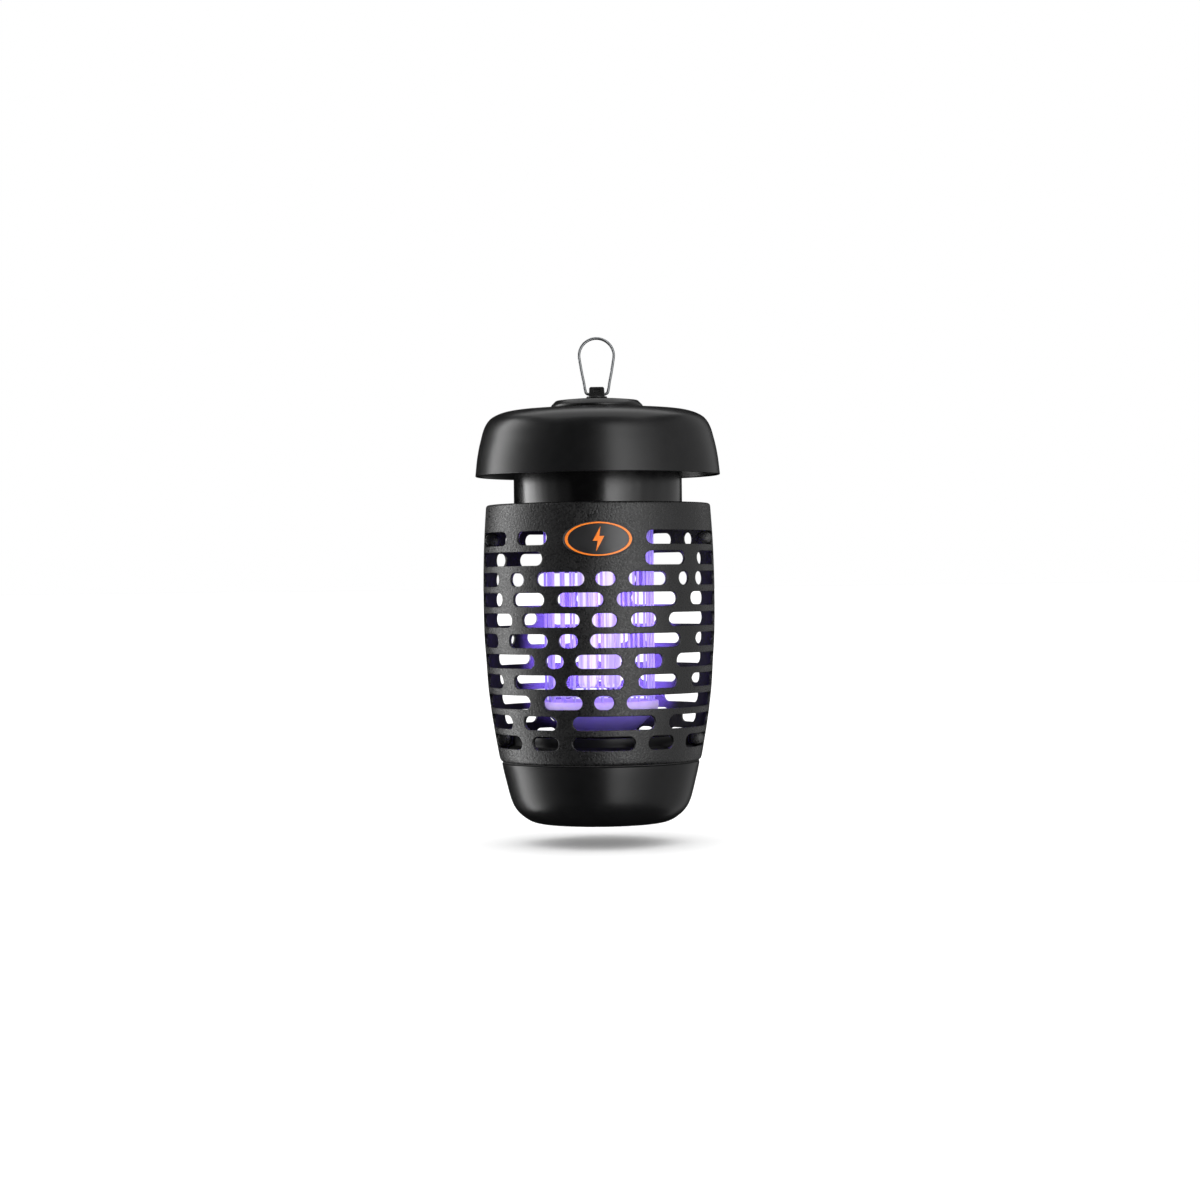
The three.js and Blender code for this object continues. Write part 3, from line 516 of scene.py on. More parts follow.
class GuardHalf:
    """Builds half of the slotted shell on a grid of azimuths and heights, so that the patches
    round the slots share their borders. Points that fall together are merged at the end."""

    def __init__(self, facing):
        self.bm = bmesh.new()
        self.facing = facing
        count = round(180 / AZIMUTH_STEP)
        self.grid = [-90 + AZIMUTH_STEP * i for i in range(count + 1)]
        self.grid[0], self.grid[-1] = -HALF_SPAN, HALF_SPAN

    def at(self, azimuth, z, depth=0.0, radius=None):
        """A point `depth` mm inside the guard's surface, or at a radius of its own."""
        reach = (radius if radius is not None else guard_radius(z) - depth) * MM
        angle = radians(azimuth)
        return (reach * math.sin(angle), self.facing * reach * math.cos(angle), z * MM)

    def strip(self, one, two, closed=False):
        """Quads between two rows of points."""
        a = [self.bm.verts.new(p) for p in one]
        b = [self.bm.verts.new(p) for p in two]
        last = len(a) if closed else len(a) - 1
        for i in range(last):
            j = (i + 1) % len(a)
            self.bm.faces.new((a[i], a[j], b[j], b[i]))

    def lines_between(self, start, end):
        inside = [a for a in self.grid if start + SAME_LINE < a < end - SAME_LINE]
        return [start, *inside, end]

    def snapped(self, azimuth):
        """The grid line nearest to an azimuth."""
        return min(self.grid, key=lambda a: abs(a - azimuth))

    def row_heights(self, middle):
        return [middle + ROW_PITCH * (k / ROW_STEPS - 0.5) for k in range(ROW_STEPS + 1)]

    def solid(self, start, end, middle):
        """A stretch of wall with no slot."""
        if end - start < SAME_LINE:
            return
        lines = self.lines_between(start, end)
        heights = self.row_heights(middle)
        for low, high in zip(heights, heights[1:]):
            for depth in (0, WALL):
                self.strip([self.at(a, low, depth) for a in lines],
                           [self.at(a, high, depth) for a in lines])

    def slotted(self, start, end, slot, middle):
        """A patch of wall with one round-ended slot, and the slot's rounded edges."""
        radius = guard_radius(middle)
        centre = (slot[0] + slot[1]) / 2
        to_mm = radians(1) * radius
        straight = (slot[1] - slot[0]) / 2 * to_mm - SLOT_HALF
        lines = self.lines_between(start, end)
        half = ROW_PITCH / 2
        heights = self.row_heights(middle)
        border = [(a, middle - half) for a in lines]
        border += [(end, z) for z in heights[1:-1]]
        border += [(a, middle + half) for a in reversed(lines)]
        border += [(start, z) for z in reversed(heights[1:-1])]

        def outline(offset, depth):
            """The border's points, brought in to the slot's outline grown by `offset` mm."""
            points = []
            for azimuth, z in border:
                u, v = (azimuth - centre) * to_mm, z - middle
                reach = SLOT_HALF + offset
                if abs(u) <= straight:
                    v = math.copysign(reach, v)
                else:
                    hub = math.copysign(straight, u)
                    along = Vector((u - hub, v)).normalized() * reach
                    u, v = hub + along.x, along.y
                points.append(self.at(centre + u / to_mm, middle + v, depth))
            return points

        rounding = [(EDGE_ROUND * (1 - math.sin(t)), EDGE_ROUND * (1 - math.cos(t)))
                    for t in (0, radians(30), radians(60), radians(90))]
        rings = [[self.at(a, z) for a, z in border], outline(EDGE_ROUND + EDGE_BAND, 0)]
        rings += [outline(offset, depth) for offset, depth in rounding]
        rings += [outline(offset, WALL - depth) for offset, depth in reversed(rounding)]
        rings += [outline(EDGE_ROUND + EDGE_BAND, WALL), [self.at(a, z, WALL) for a, z in border]]
        for one, two in zip(rings, rings[1:]):
            self.strip(one, two, closed=True)

    def row(self, slots, middle):
        """A whole row: a patch for each slot, and plain wall between the patches."""
        edge = -HALF_SPAN
        far = HALF_SPAN + 20  # past either end, so that the last patches keep their margin
        for i, slot in enumerate(slots):
            before = slots[i - 1][1] if i else -far
            after = slots[i + 1][0] if i + 1 < len(slots) else far
            start = self.snapped(max(slot[0] - CELL_MARGIN, (before + slot[0]) / 2))
            end = self.snapped(min(slot[1] + CELL_MARGIN, (slot[1] + after) / 2))
            self.solid(edge, start, middle)
            self.slotted(start, end, slot, middle)
            edge = end
        self.solid(edge, HALF_SPAN, middle)

    def section(self, profile):
        """A plain turned stretch through [r, z] points."""
        for (r0, z0), (r1, z1) in zip(profile, profile[1:]):
            self.strip([self.at(a, z0, radius=r0) for a in self.grid],
                       [self.at(a, z1, radius=r1) for a in self.grid])

    def finish(self, name):
        """Merges the patches and closes the two long edges at the joint."""
        bmesh.ops.remove_doubles(self.bm, verts=self.bm.verts, dist=0.002 * MM)
        open_edges = [e for e in self.bm.edges if len(e.link_faces) == 1]
        bmesh.ops.holes_fill(self.bm, edges=open_edges, sides=0)
        return new_object(name, self.bm)


def guard_top_profile():
    """The wall above the slots, and the roof."""
    seam = FIRST_ROW + ROW_PITCH / 2
    outside = [(guard_radius(z), z) for z in (seam, 194, 197, 200, 203)]
    outside += [(73.4, 205.2)] + arc(71.5, 205.9, 1.8, 8, 90, 6)
    roof = [(70.5, GUARD_TOP), (63, GUARD_TOP), (NECK_HOLE + 0.3, GUARD_TOP),
            (NECK_HOLE, GUARD_TOP - 0.3), (NECK_HOLE, ROOF_UNDERSIDE)]
    inside = [(69.5, ROOF_UNDERSIDE), (70.9, 204.6), (71.2, 203)]
    inside += [(guard_radius(z) - WALL, z) for z in (200, 197, 194, seam)]
    return outside + roof + inside


def guard_bottom_profile():
    """The wall below the slots."""
    seam = FIRST_ROW - ROW_PITCH * (len(FRONT_SLOTS) - 0.5)
    outside = [(guard_radius(z), z) for z in (seam, 46, 44)]
    outside += [(66.0, 43.0), (65.75, 42.2), (65.3, 41.4), (64.9, GUARD_BOTTOM)]
    inside = [(63.2, GUARD_BOTTOM), (62.95, 41.3), (63.1, 42.5), (63.5, 44)]
    inside += [(guard_radius(z) - WALL, z) for z in (46, seam)]
    return outside + inside


BOSSES = [(69.0, FIRST_ROW), (62.8, 55.0)]  # x and z of the bosses' axes, left and right alike
BOSS_RADIUS = 4.5
BOSS_EDGE = 0.35  # chamfer of a boss's end
BOSS_SIDES = 32
HEAD_HOLE = 3.4  # radius of the way in for a screw's head
SHANK_HOLE = 1.7

THREAD_RISE = 12 / 90  # mm of rise for each degree
THREAD_LUG_Z = 45.6  # underside of the tray's thread lugs, at their middle
GUARD_THREAD_THICK = 1.8
GUARD_THREAD_Z = THREAD_LUG_Z - 0.3 - GUARD_THREAD_THICK
THREAD_STEPS = 14


def boss_along_y(x, z, profile, closed):
    """A piece of a screw boss, turned about a line along Y. The profile is [r, y] in mm."""
    return turned("boss", profile, BOSS_SIDES, closed, shift_by(x, 0, z) @ LIE_ALONG_Y)


def hollow_boss(x, z, start, end, inner):
    profile = [(inner, start), (BOSS_RADIUS - BOSS_EDGE, start), (BOSS_RADIUS, start + BOSS_EDGE),
               (BOSS_RADIUS, end), (inner, end)]
    return boss_along_y(x, z, profile, True)


def blind_boss(x, z):
    """The front half's boss, closed at its front end."""
    profile = [(0, -9), (BOSS_RADIUS - BOSS_EDGE, -9), (BOSS_RADIUS, -9 + BOSS_EDGE),
               (BOSS_RADIUS, -0.15), (1.6, -0.15), (1.6, -7.6), (0, -7.6)]
    return boss_along_y(x, z, profile, False)


def screw_path(x, z):
    """A rod that cuts the way for a screw and its head through the back half's wall."""
    return boss_along_y(x, z, [(0, 12), (HEAD_HOLE, 12), (HEAD_HOLE, 60), (0, 60)], False)


def thread_bar(thread, before, after, inner, outer, underside, thickness):
    """A short helical bar round the azimuth `thread`, where its underside is at the height
    `underside`. Its ends taper."""
    bm = bmesh.new()
    start, end = thread - before, thread + after
    rings = []
    for i in range(THREAD_STEPS + 1):
        azimuth = start + (end - start) * i / THREAD_STEPS
        angle = radians(azimuth)
        taper = min(1.0, 0.45 + 0.28 * min(i, THREAD_STEPS - i))
        middle = underside + THREAD_RISE * (azimuth - thread) + thickness / 2
        reach = thickness / 2 * taper
        corners = []
        for radius, z in ((inner, -1), (outer, -0.7), (outer, 0.7), (inner, 1)):
            height = (middle + z * reach) * MM
            corners.append(bm.verts.new((radius * MM * math.sin(angle),
                                         -radius * MM * math.cos(angle), height)))
        rings.append(corners)
    add_solid(bm, rings)
    return new_object("thread_bar", bm, smooth=False)


def half_of(azimuth):
    """The half of the guard that an azimuth lies on."""
    return FRONT if math.cos(radians(azimuth)) > 0 else BACK


def build_guard(name, slots, facing):
    """One half of the guard, with its screw bosses and thread starts."""
    half = GuardHalf(facing)
    for k, row in enumerate(slots):
        half.row(row, FIRST_ROW - ROW_PITCH * k)
    half.section(guard_top_profile())
    half.section(guard_bottom_profile())
    shell = half.finish(name)
    sites = [(side * x, z) for x, z in BOSSES for side in (-1, 1)]
    extras = []
    if facing == FRONT:
        extras += [blind_boss(x, z) for x, z in sites]
    else:
        cut_with(shell, [screw_path(x, z) for x, z in sites])
        for x, z in sites:
            extras.append(hollow_boss(x, z, 0.15, 8.7, SHANK_HOLE))
            extras.append(hollow_boss(x, z, 8.7, 17, HEAD_HOLE))
    for thread in THIRDS:
        if half_of(thread) == facing:
            extras.append(thread_bar(thread, 16, 12, 65.2, 61.5, GUARD_THREAD_Z,
                                     GUARD_THREAD_THICK))
    join(shell, extras)
    return shell


def shade_inside(shell, material):
    """Gives a second, darker material to the faces that look toward the axis, as painted shade."""
    shell.data.materials.append(material)
    for face in shell.data.polygons:
        outward = Vector((face.center.x, face.center.y, 0)).normalized()
        if face.normal.dot(outward) < -0.5:
            face.material_index = 1


def make_guard():
    front = build_guard("guard_front_shell", FRONT_SLOTS, FRONT)
    back = build_guard("guard_back_shell", BACK_SLOTS, BACK)
    place(front, GUARD_BLACK, "guard_front", slot="guard_plastic")
    place(back, GUARD_BLACK, "guard_back", slot="guard_plastic")
    for shell in (front, back):
        shade_inside(shell, GUARD_INSIDE_SHADE)


# ---- hood, cap and neck

HOOD_OUTSIDE = [
    (79.95, 227.2), (79.5, 231.5), (78.8, 237.6), (77.4, 245.4), (76.1, 250.7), (74.9, 255.2),
    (73.6, 258.6), (71.9, 261.6), (69.6, 264.1), (65.4, 266.5), (58.5, 268.5), (45, 269.5),
    (30, 269.95), (3.4, 270),
]
HOOD_INSIDE = [
    (3.4, 267.4), (30, 267.3), (45, 266.9), (57.4, 265.9), (63.8, 264), (67.6, 261.9), (70, 259.6),
    (71.8, 256.8), (73.4, 252.6), (75.2, 244.6), (76.5, 237), (77.4, 231), (77.7, 227),
]


def make_hood():
    rim = [(77.9, 226.5), (78.4, 226.4), (79.5, 226.4), (79.9, 226.6)]
    profile = flowing(HOOD_OUTSIDE, 5) + flowing(HOOD_INSIDE, 4) + rim
    hood = turned("hood_shell_fine", profile, 192, closed=True)
    place(hood, HOOD_BLACK, "hood_shell", slot="hood_plastic")


CAP_LINE_AZIMUTH = -22


def cap_notch(azimuth, z):
    """A fine mould line down the cap's side."""
    away = abs((azimuth - CAP_LINE_AZIMUTH + 180) % 360 - 180)
    return -0.3 if away < 0.8 and 270.4 < z < 275.8 else 0.0


def make_cap():
    profile = [(3.3, 270.3), (9, 270.3), (9, 273), (27.5, 273), (27.5, 270.3), (29.7, 270.3)]
    profile += [(30, 270.6), (30, 272.1), (29.8, 272.55), (27.3, 275.1), (26.7, 275.45)]
    profile += [(24, 275.75), (18, 276.3), (13, 276.65), (9, 276.8), (3.6, 276.8), (3.3, 276.6)]
    cap = turned("top_cap_fine", profile, 240, closed=True, shift=cap_notch)
    place(cap, HOOD_BLACK, "top_cap", slot="hood_plastic")


# Screw posts in the neck, three of each: radius of their ring, azimuth of the first, the post's
# radius and its top. The first kind holds the hood, and the second the circuit board.
NECK_POSTS = [(24, 60, 4, 267.1), (38, 30, 3.5, 225.7)]


def make_neck():
    profile = [(0, 202), (61.6, 202), (62, 202.4), (62, 204.4), (61.6, 204.8), (55.6, 204.8)]
    profile += [(55.2, 205), (55, 205.4), (55, 230), (55, 250), (55, 265.2), (54.6, 265.6)]
    profile += [(53.2, 265.6), (52.8, 265.2), (52.8, 205.2), (52.4, 204.8), (0, 204.8)]
    neck = turned("neck_fine", profile, 192)
    extras = []
    for third in THIRDS:
        for ring, azimuth, size, top in NECK_POSTS:
            post = [(0, 204.6), (size + 0.3, 204.6), (size, 205.4), (size, top - 0.3),
                    (size - 0.3, top), (0, top)]
            extras.append(turned("post", post, 24, matrix=shift_round(ring, third + azimuth)))
    join(neck, extras)
    place(neck, NECK_BLACK, "neck_housing", slot="neck_plastic")


GLAND_Z = 219
GLAND_RIBS = 3


def make_gland():
    profile = [(2.6, 49.7), (4.1, 49.7), (4.1, 55.3), (7, 55.3), (7, 57.6), (6.7, 58)]
    for i in range(GLAND_RIBS):
        y = 58.2 + 2.1 * i
        rib, groove = 5.3 - 0.25 * i, 4.3 - 0.2 * i
        profile += [(rib, y), (rib, y + 1.2), (groove, y + 1.4), (groove, y + 1.9)]
    profile += [(3.9, 64.8), (3.6, 65), (2.6, 65)]
    gland = turned("cord_gland_fine", profile, 40, True, shift_by(0, 0, GLAND_Z) @ LIE_ALONG_Y)
    place(gland, RUBBER, "cord_gland", slot="black_rubber")


# ---- hanging loop

LUG_HOLE_Z = 279.8
LUG_HALF_DEPTH = 4
LUG_OUTLINE = [
    (-5.3, 277.1), (5.3, 277.1), (4.9, 283.6), (4.1, 284.4), (-4.1, 284.4), (-4.9, 283.6),
]
RECESS_SIZE = (4.4, 2.4, 2.2)  # shallow recesses in the lug's front and back
RECESS_Z = 281.9
LOOP_ARC_Z = 304.95
LOOP_HALF_WIDTH = 11.35


def make_lug():
    bm = bmesh.new()
    add_solid(bm, [[bm.verts.new((x * MM, y * MM, z * MM)) for x, z in LUG_OUTLINE]
                   for y in (-LUG_HALF_DEPTH, LUG_HALF_DEPTH)])
    lug = new_object("loop_lug_fine", bm, smooth=False)
    hole = turned("hole", [(0, -9), (1.3, -9), (1.3, 9), (0, 9)], 32,
                  matrix=shift_by(0, 0, LUG_HOLE_Z) @ LIE_ALONG_X)
    recesses = []
    for y in (-LUG_HALF_DEPTH, LUG_HALF_DEPTH):
        bm = bmesh.new()
        bmesh.ops.create_cube(bm, size=1)
        bmesh.ops.scale(bm, vec=Vector(RECESS_SIZE) * MM, verts=bm.verts)
        bmesh.ops.translate(bm, vec=(0, y * MM, RECESS_Z * MM), verts=bm.verts)
        recesses.append(new_object("recess", bm, smooth=False))
    cut_with(lug, [hole, *recesses])
    bevel(lug, 0.35, 3, 35)
    flange = turned("flange", [(0, 277.1), (6.5, 277.1), (6.8, 277.4), (6.8, 278), (6.5, 278.3),
                               (0, 278.3)], 48)
    stem = turned("stem", [(0, 259), (2.6, 259), (3, 259.4), (3, 277.6), (0, 277.6)], 24)
    join(lug, [flange, stem])
    place(lug, HOOD_BLACK, "loop_lug", slot="hood_plastic")


def make_loop():
    """One wire whose two ends meet in the lug's hole."""
    half = [(1, LUG_HOLE_Z), (3, LUG_HOLE_Z), (5.4, LUG_HOLE_Z), (6.9, LUG_HOLE_Z + 0.8),
            (7.6, LUG_HOLE_Z + 2.8), (8.3, 287), (9.5, 293), (10.7, 300)]
    top = arc(0, LOOP_ARC_Z, LOOP_HALF_WIDTH, 0, 180, 15)
    line = flowing(half + top + [(-x, z) for x, z in reversed(half)], 4)
    loop = swept_wire("hang_loop_fine", [(x, 0, z) for x, z in line], 0.95, 16)
    place(loop, LOOP_STEEL, "hang_loop", slot="loop_steel", body="loop")


# ---- grid and lamp

WIRE_COUNT = 24
WIRE_RADIUS = 0.85
FIRST_WIRE = 2.5  # azimuth of the first wire
HOOP_THICKNESS = 0.7  # radius of a hoop's own wire
HOOP_SIDES = 10


def hoop(bm, radius, z):
    turn(bm, arc(radius, z, HOOP_THICKNESS, 0, 360, HOOP_SIDES)[:-1], 96, closed=True)


def electrode(name, first, wire_ring, hoop_ring, hoops):
    """Every second wire of the grid, from the `first`, and the hoops that they are welded to."""
    bm = bmesh.new()
    for z in hoops:
        hoop(bm, hoop_ring, z)
    profile = [(0, 77.2), (0.6, 77.2), (WIRE_RADIUS, 77.5), (WIRE_RADIUS, 196.5), (0.6, 196.8),
               (0, 196.8)]
    for i in range(first, WIRE_COUNT, 2):
        turn(bm, profile, 12, matrix=shift_round(wire_ring, 360 / WIRE_COUNT * i + FIRST_WIRE))
    return new_object(name, bm)


def make_grid():
    live = electrode("live_grid_fine", 0, 35.2, 36.3, (83.5, 192))
    back = electrode("return_grid_fine", 1, 34, 32.9, (87, 188))
    place(live, GRID_STEEL, "live_grid", slot="grid_steel")
    place(back, GRID_STEEL, "return_grid", slot="grid_steel")


def make_insulators():
    upper = [(25.5, 195.9), (26, 195.5), (31.9, 194.8), (32.6, 195), (32.6, 197.7), (36.6, 197.7),
             (36.6, 195), (37.2, 194.8), (40.4, 195.3), (41, 196), (41, 201.3), (40.6, 201.7),
             (25.9, 201.7), (25.5, 201.3)]
    ring = turned("upper_insulator_fine", upper, 128, closed=True)
    place(ring, INSULATOR, "upper_insulator", slot="insulator_plastic")
    lower = [(8, 60.3), (8.3, 60), (22.4, 60), (23.6, 60.6), (30, 66.4), (36.6, 72.6), (37.8, 74.2),
             (38.2, 76), (38.2, 79.1), (37.8, 79.5), (37, 79.5), (36.6, 79.1), (36.6, 76.9),
             (32.6, 76.9), (32.6, 79.1), (32.2, 79.5), (31.4, 79.5), (31, 79.1), (30.6, 76),
             (28.6, 72), (22.6, 64), (21.2, 62.9), (19.6, 62.4), (8.3, 62.4), (8, 62.1)]
    dish = turned("lower_insulator_fine", lower, 128, closed=True)
    place(dish, DISH, "lower_insulator", slot="insulator_plastic")


LAMP_RADIUS = 6  # of each of the lamp's two tubes
LAMP_BOTTOM = 88  # the tubes' round ends are flattened here
LAMP_TOP = 180.7
LAMP_BRIDGE_Z = 96


def make_lamp():
    """Two upright tubes side by side, joined by a short bridge."""
    bm = bmesh.new()
    leg = [(r, max(z, LAMP_BOTTOM)) for r, z in arc(0, 92.2, LAMP_RADIUS, -90, 0, 7)]
    leg += [(LAMP_RADIUS, 120), (LAMP_RADIUS, 150), (LAMP_RADIUS, LAMP_TOP), (0, LAMP_TOP)]
    for side in (-1, 1):
        turn(bm, leg, 40, matrix=shift_by(8 * side, 0, 0))
    bridge = [(0, -6), (3.2, -6), (3.2, 6), (0, 6)]
    turn(bm, bridge, 24, matrix=shift_by(0, 0, LAMP_BRIDGE_Z) @ LIE_ALONG_X)
    lamp = new_object("lamp_tube_fine", bm)
    place(lamp, LAMP_GLASS, "lamp_tube", slot="lamp_glass")


# ---- badge

BADGE_MIDDLE = 184.0
BADGE_HALF_ANGLE = 17.2
BADGE_HALF_HEIGHT = 11.4
BADGE_SIDES = 96
BOLT_OUTLINE = [(1.4, 8), (-3.6, -1.2), (-0.5, -1.2), (-1.6, -8), (3.8, 1.8), (0.6, 1.8)]


def badge_surface(name, profile, closed=False):
    """An oval relief on the guard's front. The profile is (share of the oval, height in mm above
    the guard's surface), and a share of 0 is the badge's middle."""
    bm = bmesh.new()
    rings = []
    for share, height in profile:
        ring = []
        for i in range(BADGE_SIDES if share > 0 else 1):
            t = 2 * math.pi * i / BADGE_SIDES
            z = BADGE_MIDDLE + BADGE_HALF_HEIGHT * share * math.sin(t)
            angle = radians(BADGE_HALF_ANGLE * share * math.cos(t))
            reach = (guard_radius(z) + height) * MM
            ring.append(bm.verts.new((reach * math.sin(angle), -reach * math.cos(angle), z * MM)))
        rings.append(ring)
    join_rings(bm, rings, closed)
    return new_object(name, bm)


def make_badge():
    plate = badge_surface("badge_plate_fine", [
        (0, 1.05), (0.3, 1.05), (0.6, 1.05), (0.85, 1.05), (0.955, 1.0), (0.985, 0.85),
        (1, 0.6), (1, 0.1), (0.9, 0.05), (0, 0.05)])
    place(plate, BADGE_BLACK, "badge_plate", slot="badge_black")
    rim = badge_surface("badge_rim", [
        (0.855, 0.9), (0.86, 1.28), (0.87, 1.36), (0.925, 1.36), (0.937, 1.28), (0.942, 0.9)],
        closed=True)
    place(rim, BADGE_ORANGE, slot="badge_orange")
    bm = bmesh.new()
    outlines = []
    for height in (0.9, 1.55):
        outline = []
        for x, z in BOLT_OUTLINE:
            reach = guard_radius(BADGE_MIDDLE + z) + height
            outline.append(bm.verts.new((x * MM, -math.sqrt(reach ** 2 - x ** 2) * MM,
                                         (BADGE_MIDDLE + z) * MM)))
        outlines.append(outline)
    add_solid(bm, outlines)
    bolt = new_object("badge_bolt_fine", bm, smooth=False)
    bevel(bolt, 0.16, 2, 30)
    place(bolt, BADGE_ORANGE, "badge_bolt", slot="badge_orange")


# ---- tray

TRAY_THREAD_THICK = 2
TRAY_OUTSIDE = [
    (38, 0), (42.5, 0.35), (46.4, 1.6), (50.6, 4.2), (54, 7.2), (56.6, 10.6), (58.6, 15),
    (60.2, 20.3), (61.5, 25.5), (62.8, 30.8), (64, 36), (64.5, 38.9),
]
TRAY_INSIDE = [
    (58.7, 31.5), (58, 21), (56.4, 14.5), (53.4, 9.4), (49, 5.8), (43.4, 3.4), (36, 2.4),
]


def make_tray():
    profile = [(0, 0.25), (33, 0.25), (35, 0)] + flowing(TRAY_OUTSIDE, 4)
    profile += [(64.4, 39.5), (64, 39.8), (61.2, 39.8), (60.8, 40), (60.7, 40.4), (60.7, 49.5)]
    profile += [(60.5, 49.9), (57.3, 51.5), (57, 51.9), (57, 57.2), (56.7, 57.5), (55.5, 57.5)]
    profile += [(55.2, 57.2), (55.2, 50.7), (55.6, 50.2), (58.4, 48.8), (58.7, 48.3), (58.7, 31.5)]
    profile += flowing(TRAY_INSIDE, 4) + [(0, 2.4)]
    tray = turned("tray_fine", profile, 192)
    join(tray, [thread_bar(thread, 12, 12, 59.8, 62.3, THREAD_LUG_Z, TRAY_THREAD_THICK)
                for thread in THIRDS])
    place(tray, TRAY_BLACK, "tray", slot="hood_plastic", body="tray")
    seal = turned("tray_seal_fine", [(61.2, 40.2), (61.3, 40.1), (64.1, 40.1), (64.2, 40.2),
                                     (64.2, 40.6), (64.1, 40.7), (61.3, 40.7), (61.2, 40.6)],
                  160, closed=True)
    place(seal, RUBBER, "tray_seal", slot="black_rubber", body="seal")


# ---- inner pieces kept from the CAD

CAD_FINISHES = [
    (ZINC, ("hood_screw", "board_screw", "insulator_screw", "socket_screw", "guard_screw",
            "lug_washer", "lug_nut")),
    (WHITE, ("lamp_base", "lamp_socket")),
    (BOARD, "circuit_board"),
    (LAMINATION, "choke_core"),
    (TAPE, "choke_winding"),
    (BLUE, "main_capacitor"),
    (YELLOW, "multiplier_capacitor"),
    (FUSE_GLASS, "fuse"),
    (RED_PVC, ("live_lead", "lamp_lead_right")),
    (BLACK_PVC, ("return_lead", "lamp_lead_left", "inlet_lead")),
]


def finish_cad_nodes():
    """Gives each CAD node its material, by the start of its name."""
    for name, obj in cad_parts.items():
        for material, starts in CAD_FINISHES:
            if name.startswith(starts):
                obj.data.materials.clear()
                obj.data.materials.append(material)


# ---- stage, lights and camera

FLOOR = "pale_floor"
FLOOR_Z = -0.0136  # the zapper hangs just clear of the floor
FLOOR_CORNERS = ((-40, -6), (40, -6), (40, 90), (-40, 90))


def make_stage():
    """A pale floor that runs out of sight. It takes shadows, and stays out of the reflections and
    the light on the object."""
    n = Nodes(FLOOR)
    n.feed("Roughness", n.spread(n.noise(60, 3.0), 0.75, 0.82))
    clouds = n.mix(n.noise(220, 2.0), (0.9, 0.9, 0.9), (0.92, 0.92, 0.92))
    n.feed("Base Color", clouds)
    n.set(Specular_IOR_Level=0.1, Emission_Color=(1, 1, 1, 1), Emission_Strength=0.17)
    bm = bmesh.new()
    bm.faces.new([bm.verts.new((x, y, FLOOR_Z)) for x, y in FLOOR_CORNERS])
    floor = new_object(FLOOR, bm, smooth=False)
    floor.data.materials.append(n.material)
    floor.visible_glossy = False
    floor.visible_diffuse = False
    floor.visible_shadow = False


def add_light(name, kind, power, colour=(1, 1, 1)):
    """A light that the camera doesn't see."""
    light = bpy.data.lights.new(name, kind)
    light.energy = power
    light.color = colour
    obj = add_object(name, light)
    obj.visible_camera = False
    return obj


def softbox(name, azimuth, distance, height, width, tall, power, colour=(1, 1, 1), target=None,
            outward=False):
    """A rectangular light that faces the axis at the height `target`, or else at its own height. If
    outward, it faces the other way."""
    obj = add_light(name, "AREA", power, colour)
    obj.data.shape = "RECTANGLE"
    obj.data.size = width
    obj.data.size_y = tall
    angle = radians(azimuth)
    obj.location = (distance * math.sin(angle), -distance * math.cos(angle), height)
    aim = Vector((0, 0, height if target is None else target)) - obj.location
    obj.rotation_euler = (-aim if outward else aim).to_track_quat("-Z", "Y").to_euler()
    return obj


VIOLET = (0.36, 0.2, 1.0)
DEEP_VIOLET = (0.25, 0.14, 1.0)
GUARD = ["guard_front_shell", "guard_back_shell"]
GRID = ["live_grid_fine", "return_grid_fine"]
INSULATORS = ["upper_insulator_fine", "lower_insulator_fine"]
GLOW_HEIGHTS = (95, 115, 135, 155, 175)  # along the lamp, in mm

# Upright light panels round the object: from and to azimuth, and how bright.
PANELS = [
    (-120, -107, 6.5), (-107, -95, 5.2), (-95, -84, 2.6), (-84, -74, 1.0), (-74, -58, 0.45),
    (-58, -38, 0.16), (10, 20, 4.4), (20, 29, 4.7), (29, 37, 3.3), (37, 46, 2.3), (46, 60, 1.4),
    (60, 80, 0.72), (80, 105, 0.6), (105, 130, 0.5), (130, 150, 0.5),
]
PANEL_DISTANCE = 1.5
PANEL_TALL = 2.6
PANEL_HEIGHT = 0.2  # height of a panel's middle


def panel(start, end, brightness):
    """An upright panel that spans a range of azimuths."""
    width = 2 * PANEL_DISTANCE * math.tan(radians((end - start) / 2))
    power = brightness * math.pi * width * PANEL_TALL
    middle = (start + end) / 2
    return softbox(f"panel_{middle:.0f}", middle, PANEL_DISTANCE, PANEL_HEIGHT, width, PANEL_TALL,
                   power)


def only_on(light, names):
    """Makes a light fall only on the named pieces."""
    group = bpy.data.collections.new(light.name + "_on")
    for name in names:
        group.objects.link(bpy.data.objects[name])
    light.light_linking.receiver_collection = group


def axis_glow(name, z, power, radius, names):
    """A violet light on the axis, at a height in mm, that falls only on the named pieces."""
    obj = add_light(name, "POINT", power, VIOLET)
    obj.data.shadow_soft_size = radius
    obj.location = (0, 0, z * MM)
    only_on(obj, names)
    return obj


def grid_strip(azimuth):
    """A violet strip inside the guard that lights the grid from outside."""
    strip = softbox(f"grid_strip_{azimuth}", azimuth, distance=0.055, height=0.133, width=0.008,
                    tall=0.1, power=0.018, colour=VIOLET)
    strip.visible_glossy = False
    only_on(strip, GRID + INSULATORS)


def wall_glow(name, azimuth):
    """Violet light that the lamp throws on the middle of the guard's inside. It stands between the
    grid and the wall, so that the grid doesn't shade it."""
    light = softbox(name, azimuth, distance=0.036, height=0.12, width=0.092, tall=0.09, power=6.0,
                    colour=DEEP_VIOLET, outward=True)
    light.data.spread = radians(80)
    light.visible_glossy = False
    only_on(light, GUARD)


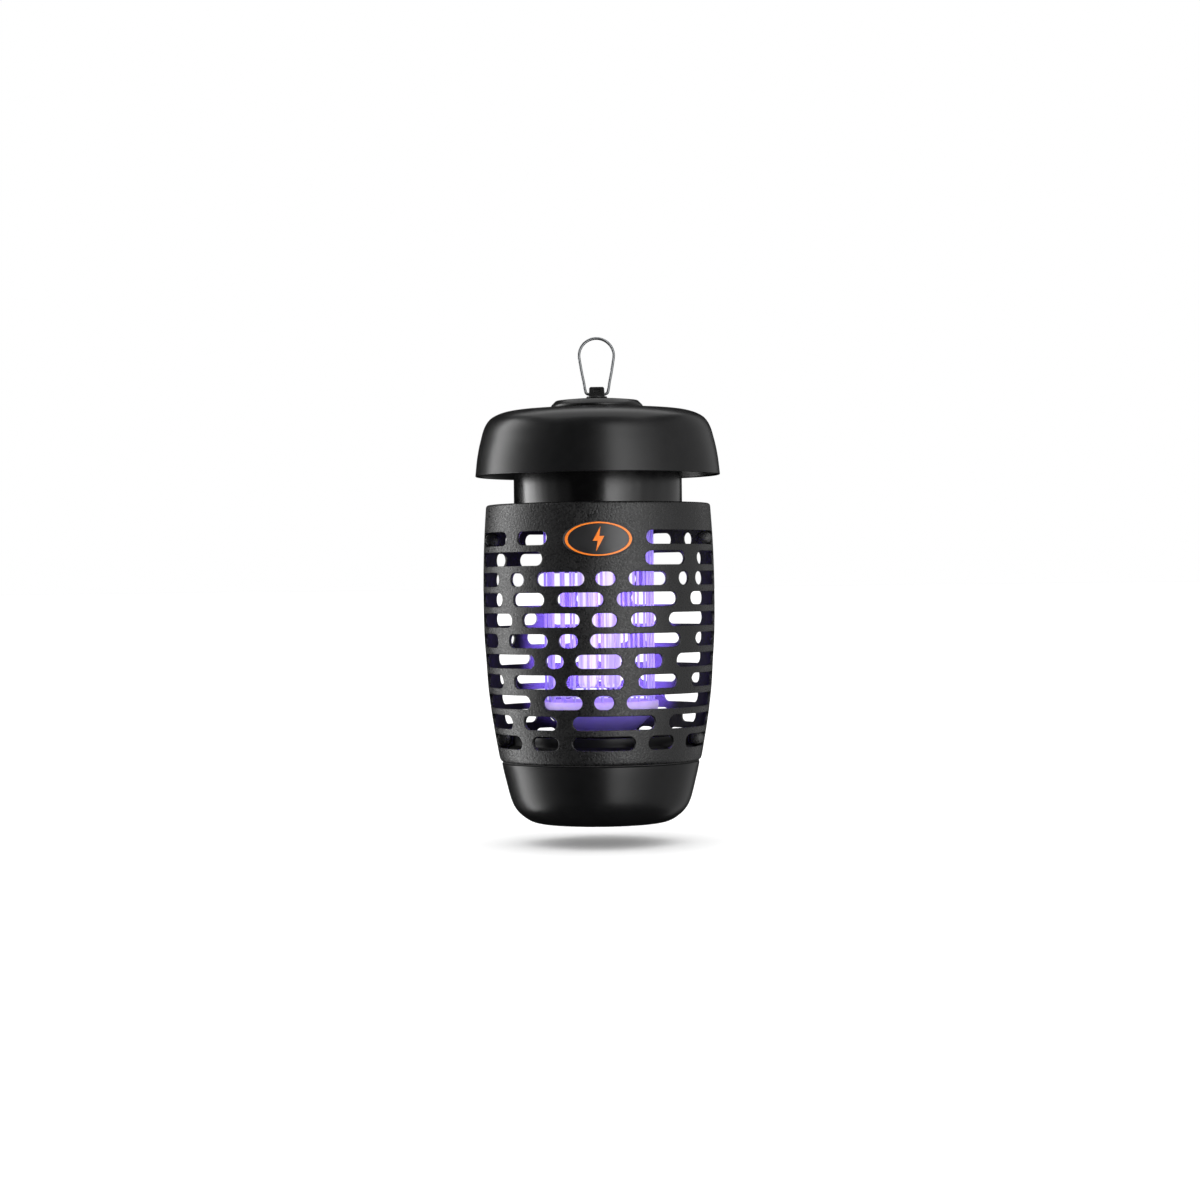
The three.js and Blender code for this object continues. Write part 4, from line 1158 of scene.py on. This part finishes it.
def overhead(name, tilt):
    """Very soft light from above, only on the floor. It makes the shadow there."""
    obj = add_light(name, "SUN", 2.65)
    obj.data.angle = radians(112)
    obj.rotation_euler = (radians(tilt), 0, 0)
    only_on(obj, [FLOOR])


def make_lights():
    pieces = [o.name for o in bpy.data.objects if o.type == "MESH" and o.name != FLOOR]
    room = [panel(start, end, brightness) for start, end, brightness in PANELS]
    top = softbox("top", 180, distance=0.3, height=1.6, width=2.0, tall=1.9, power=24)
    top.rotation_euler = (0, 0, 0)
    front = softbox("front_diffuse", 10, distance=1.7, height=0.4, width=1.2, tall=1.2, power=1.5,
                    target=0.15)
    front.visible_glossy = False
    for light in (*room, top, front):
        only_on(light, pieces)
    overhead("floor_sky_front", tilt=40)
    overhead("floor_sky_back", tilt=-40)
    wall_glow("wall_glow_front", 0)
    wall_glow("wall_glow_back", 180)
    for z in GLOW_HEIGHTS:
        sheen = axis_glow(f"edge_glow_{z}", z, power=0.075, radius=0.01, names=GUARD)
        sheen.visible_diffuse = False
        axis_glow(f"wire_glow_{z}", z, power=0.035, radius=0.004, names=GRID)
    for azimuth in range(0, 360, 45):
        grid_strip(azimuth)


ROOM_STRENGTH = 0.003  # of the dim room in the reflections


def make_world():
    """White behind the object, and a dim grey room in its reflections."""
    world = bpy.data.worlds.new("studio")
    bpy.context.scene.world = world
    world.use_nodes = True
    tree = world.node_tree
    tree.nodes.clear()
    output = tree.nodes.new("ShaderNodeOutputWorld")
    mix = tree.nodes.new("ShaderNodeMixShader")
    path = tree.nodes.new("ShaderNodeLightPath")
    seen = tree.nodes.new("ShaderNodeBackground")
    room = tree.nodes.new("ShaderNodeBackground")
    for background, strength in ((seen, 1.0), (room, ROOM_STRENGTH)):
        background.inputs["Color"].default_value = (1, 1, 1, 1)
        background.inputs["Strength"].default_value = strength
    tree.links.new(path.outputs["Is Camera Ray"], mix.inputs["Fac"])
    tree.links.new(room.outputs[0], mix.inputs[1])
    tree.links.new(seen.outputs[0], mix.inputs[2])
    tree.links.new(mix.outputs[0], output.inputs["Surface"])


CAMERA_SIDE = 0.0006  # the camera stands a hair to the right of the axis
CAMERA_DISTANCE = 1.789
CAMERA_HEIGHT = 0.155
LENS = 82.0
AIM_HEIGHT = 0.1452
ROLL = 0.65  # the photo is turned by this much


def make_camera():
    data = bpy.data.cameras.new("camera")
    data.lens = LENS
    data.sensor_width = 36
    data.clip_start, data.clip_end = 0.05, 200
    camera = add_object("camera", data)
    camera.location = (CAMERA_SIDE, -CAMERA_DISTANCE, CAMERA_HEIGHT)
    aim = Vector((CAMERA_SIDE, 0, AIM_HEIGHT)) - camera.location
    roll = Matrix.Rotation(radians(ROLL), 3, aim.normalized())
    camera.rotation_euler = (roll @ aim.to_track_quat("-Z", "Y").to_matrix()).to_euler()
    bpy.context.scene.camera = camera


# ---- assembly

make_guard()
make_hood()
make_cap()
make_neck()
make_gland()
make_lug()
make_loop()
make_grid()
make_insulators()
make_lamp()
make_badge()
make_tray()
finish_cad_nodes()
make_stage()
make_lights()
make_world()
make_camera()
bpy.context.scene.view_settings.view_transform = "Standard"
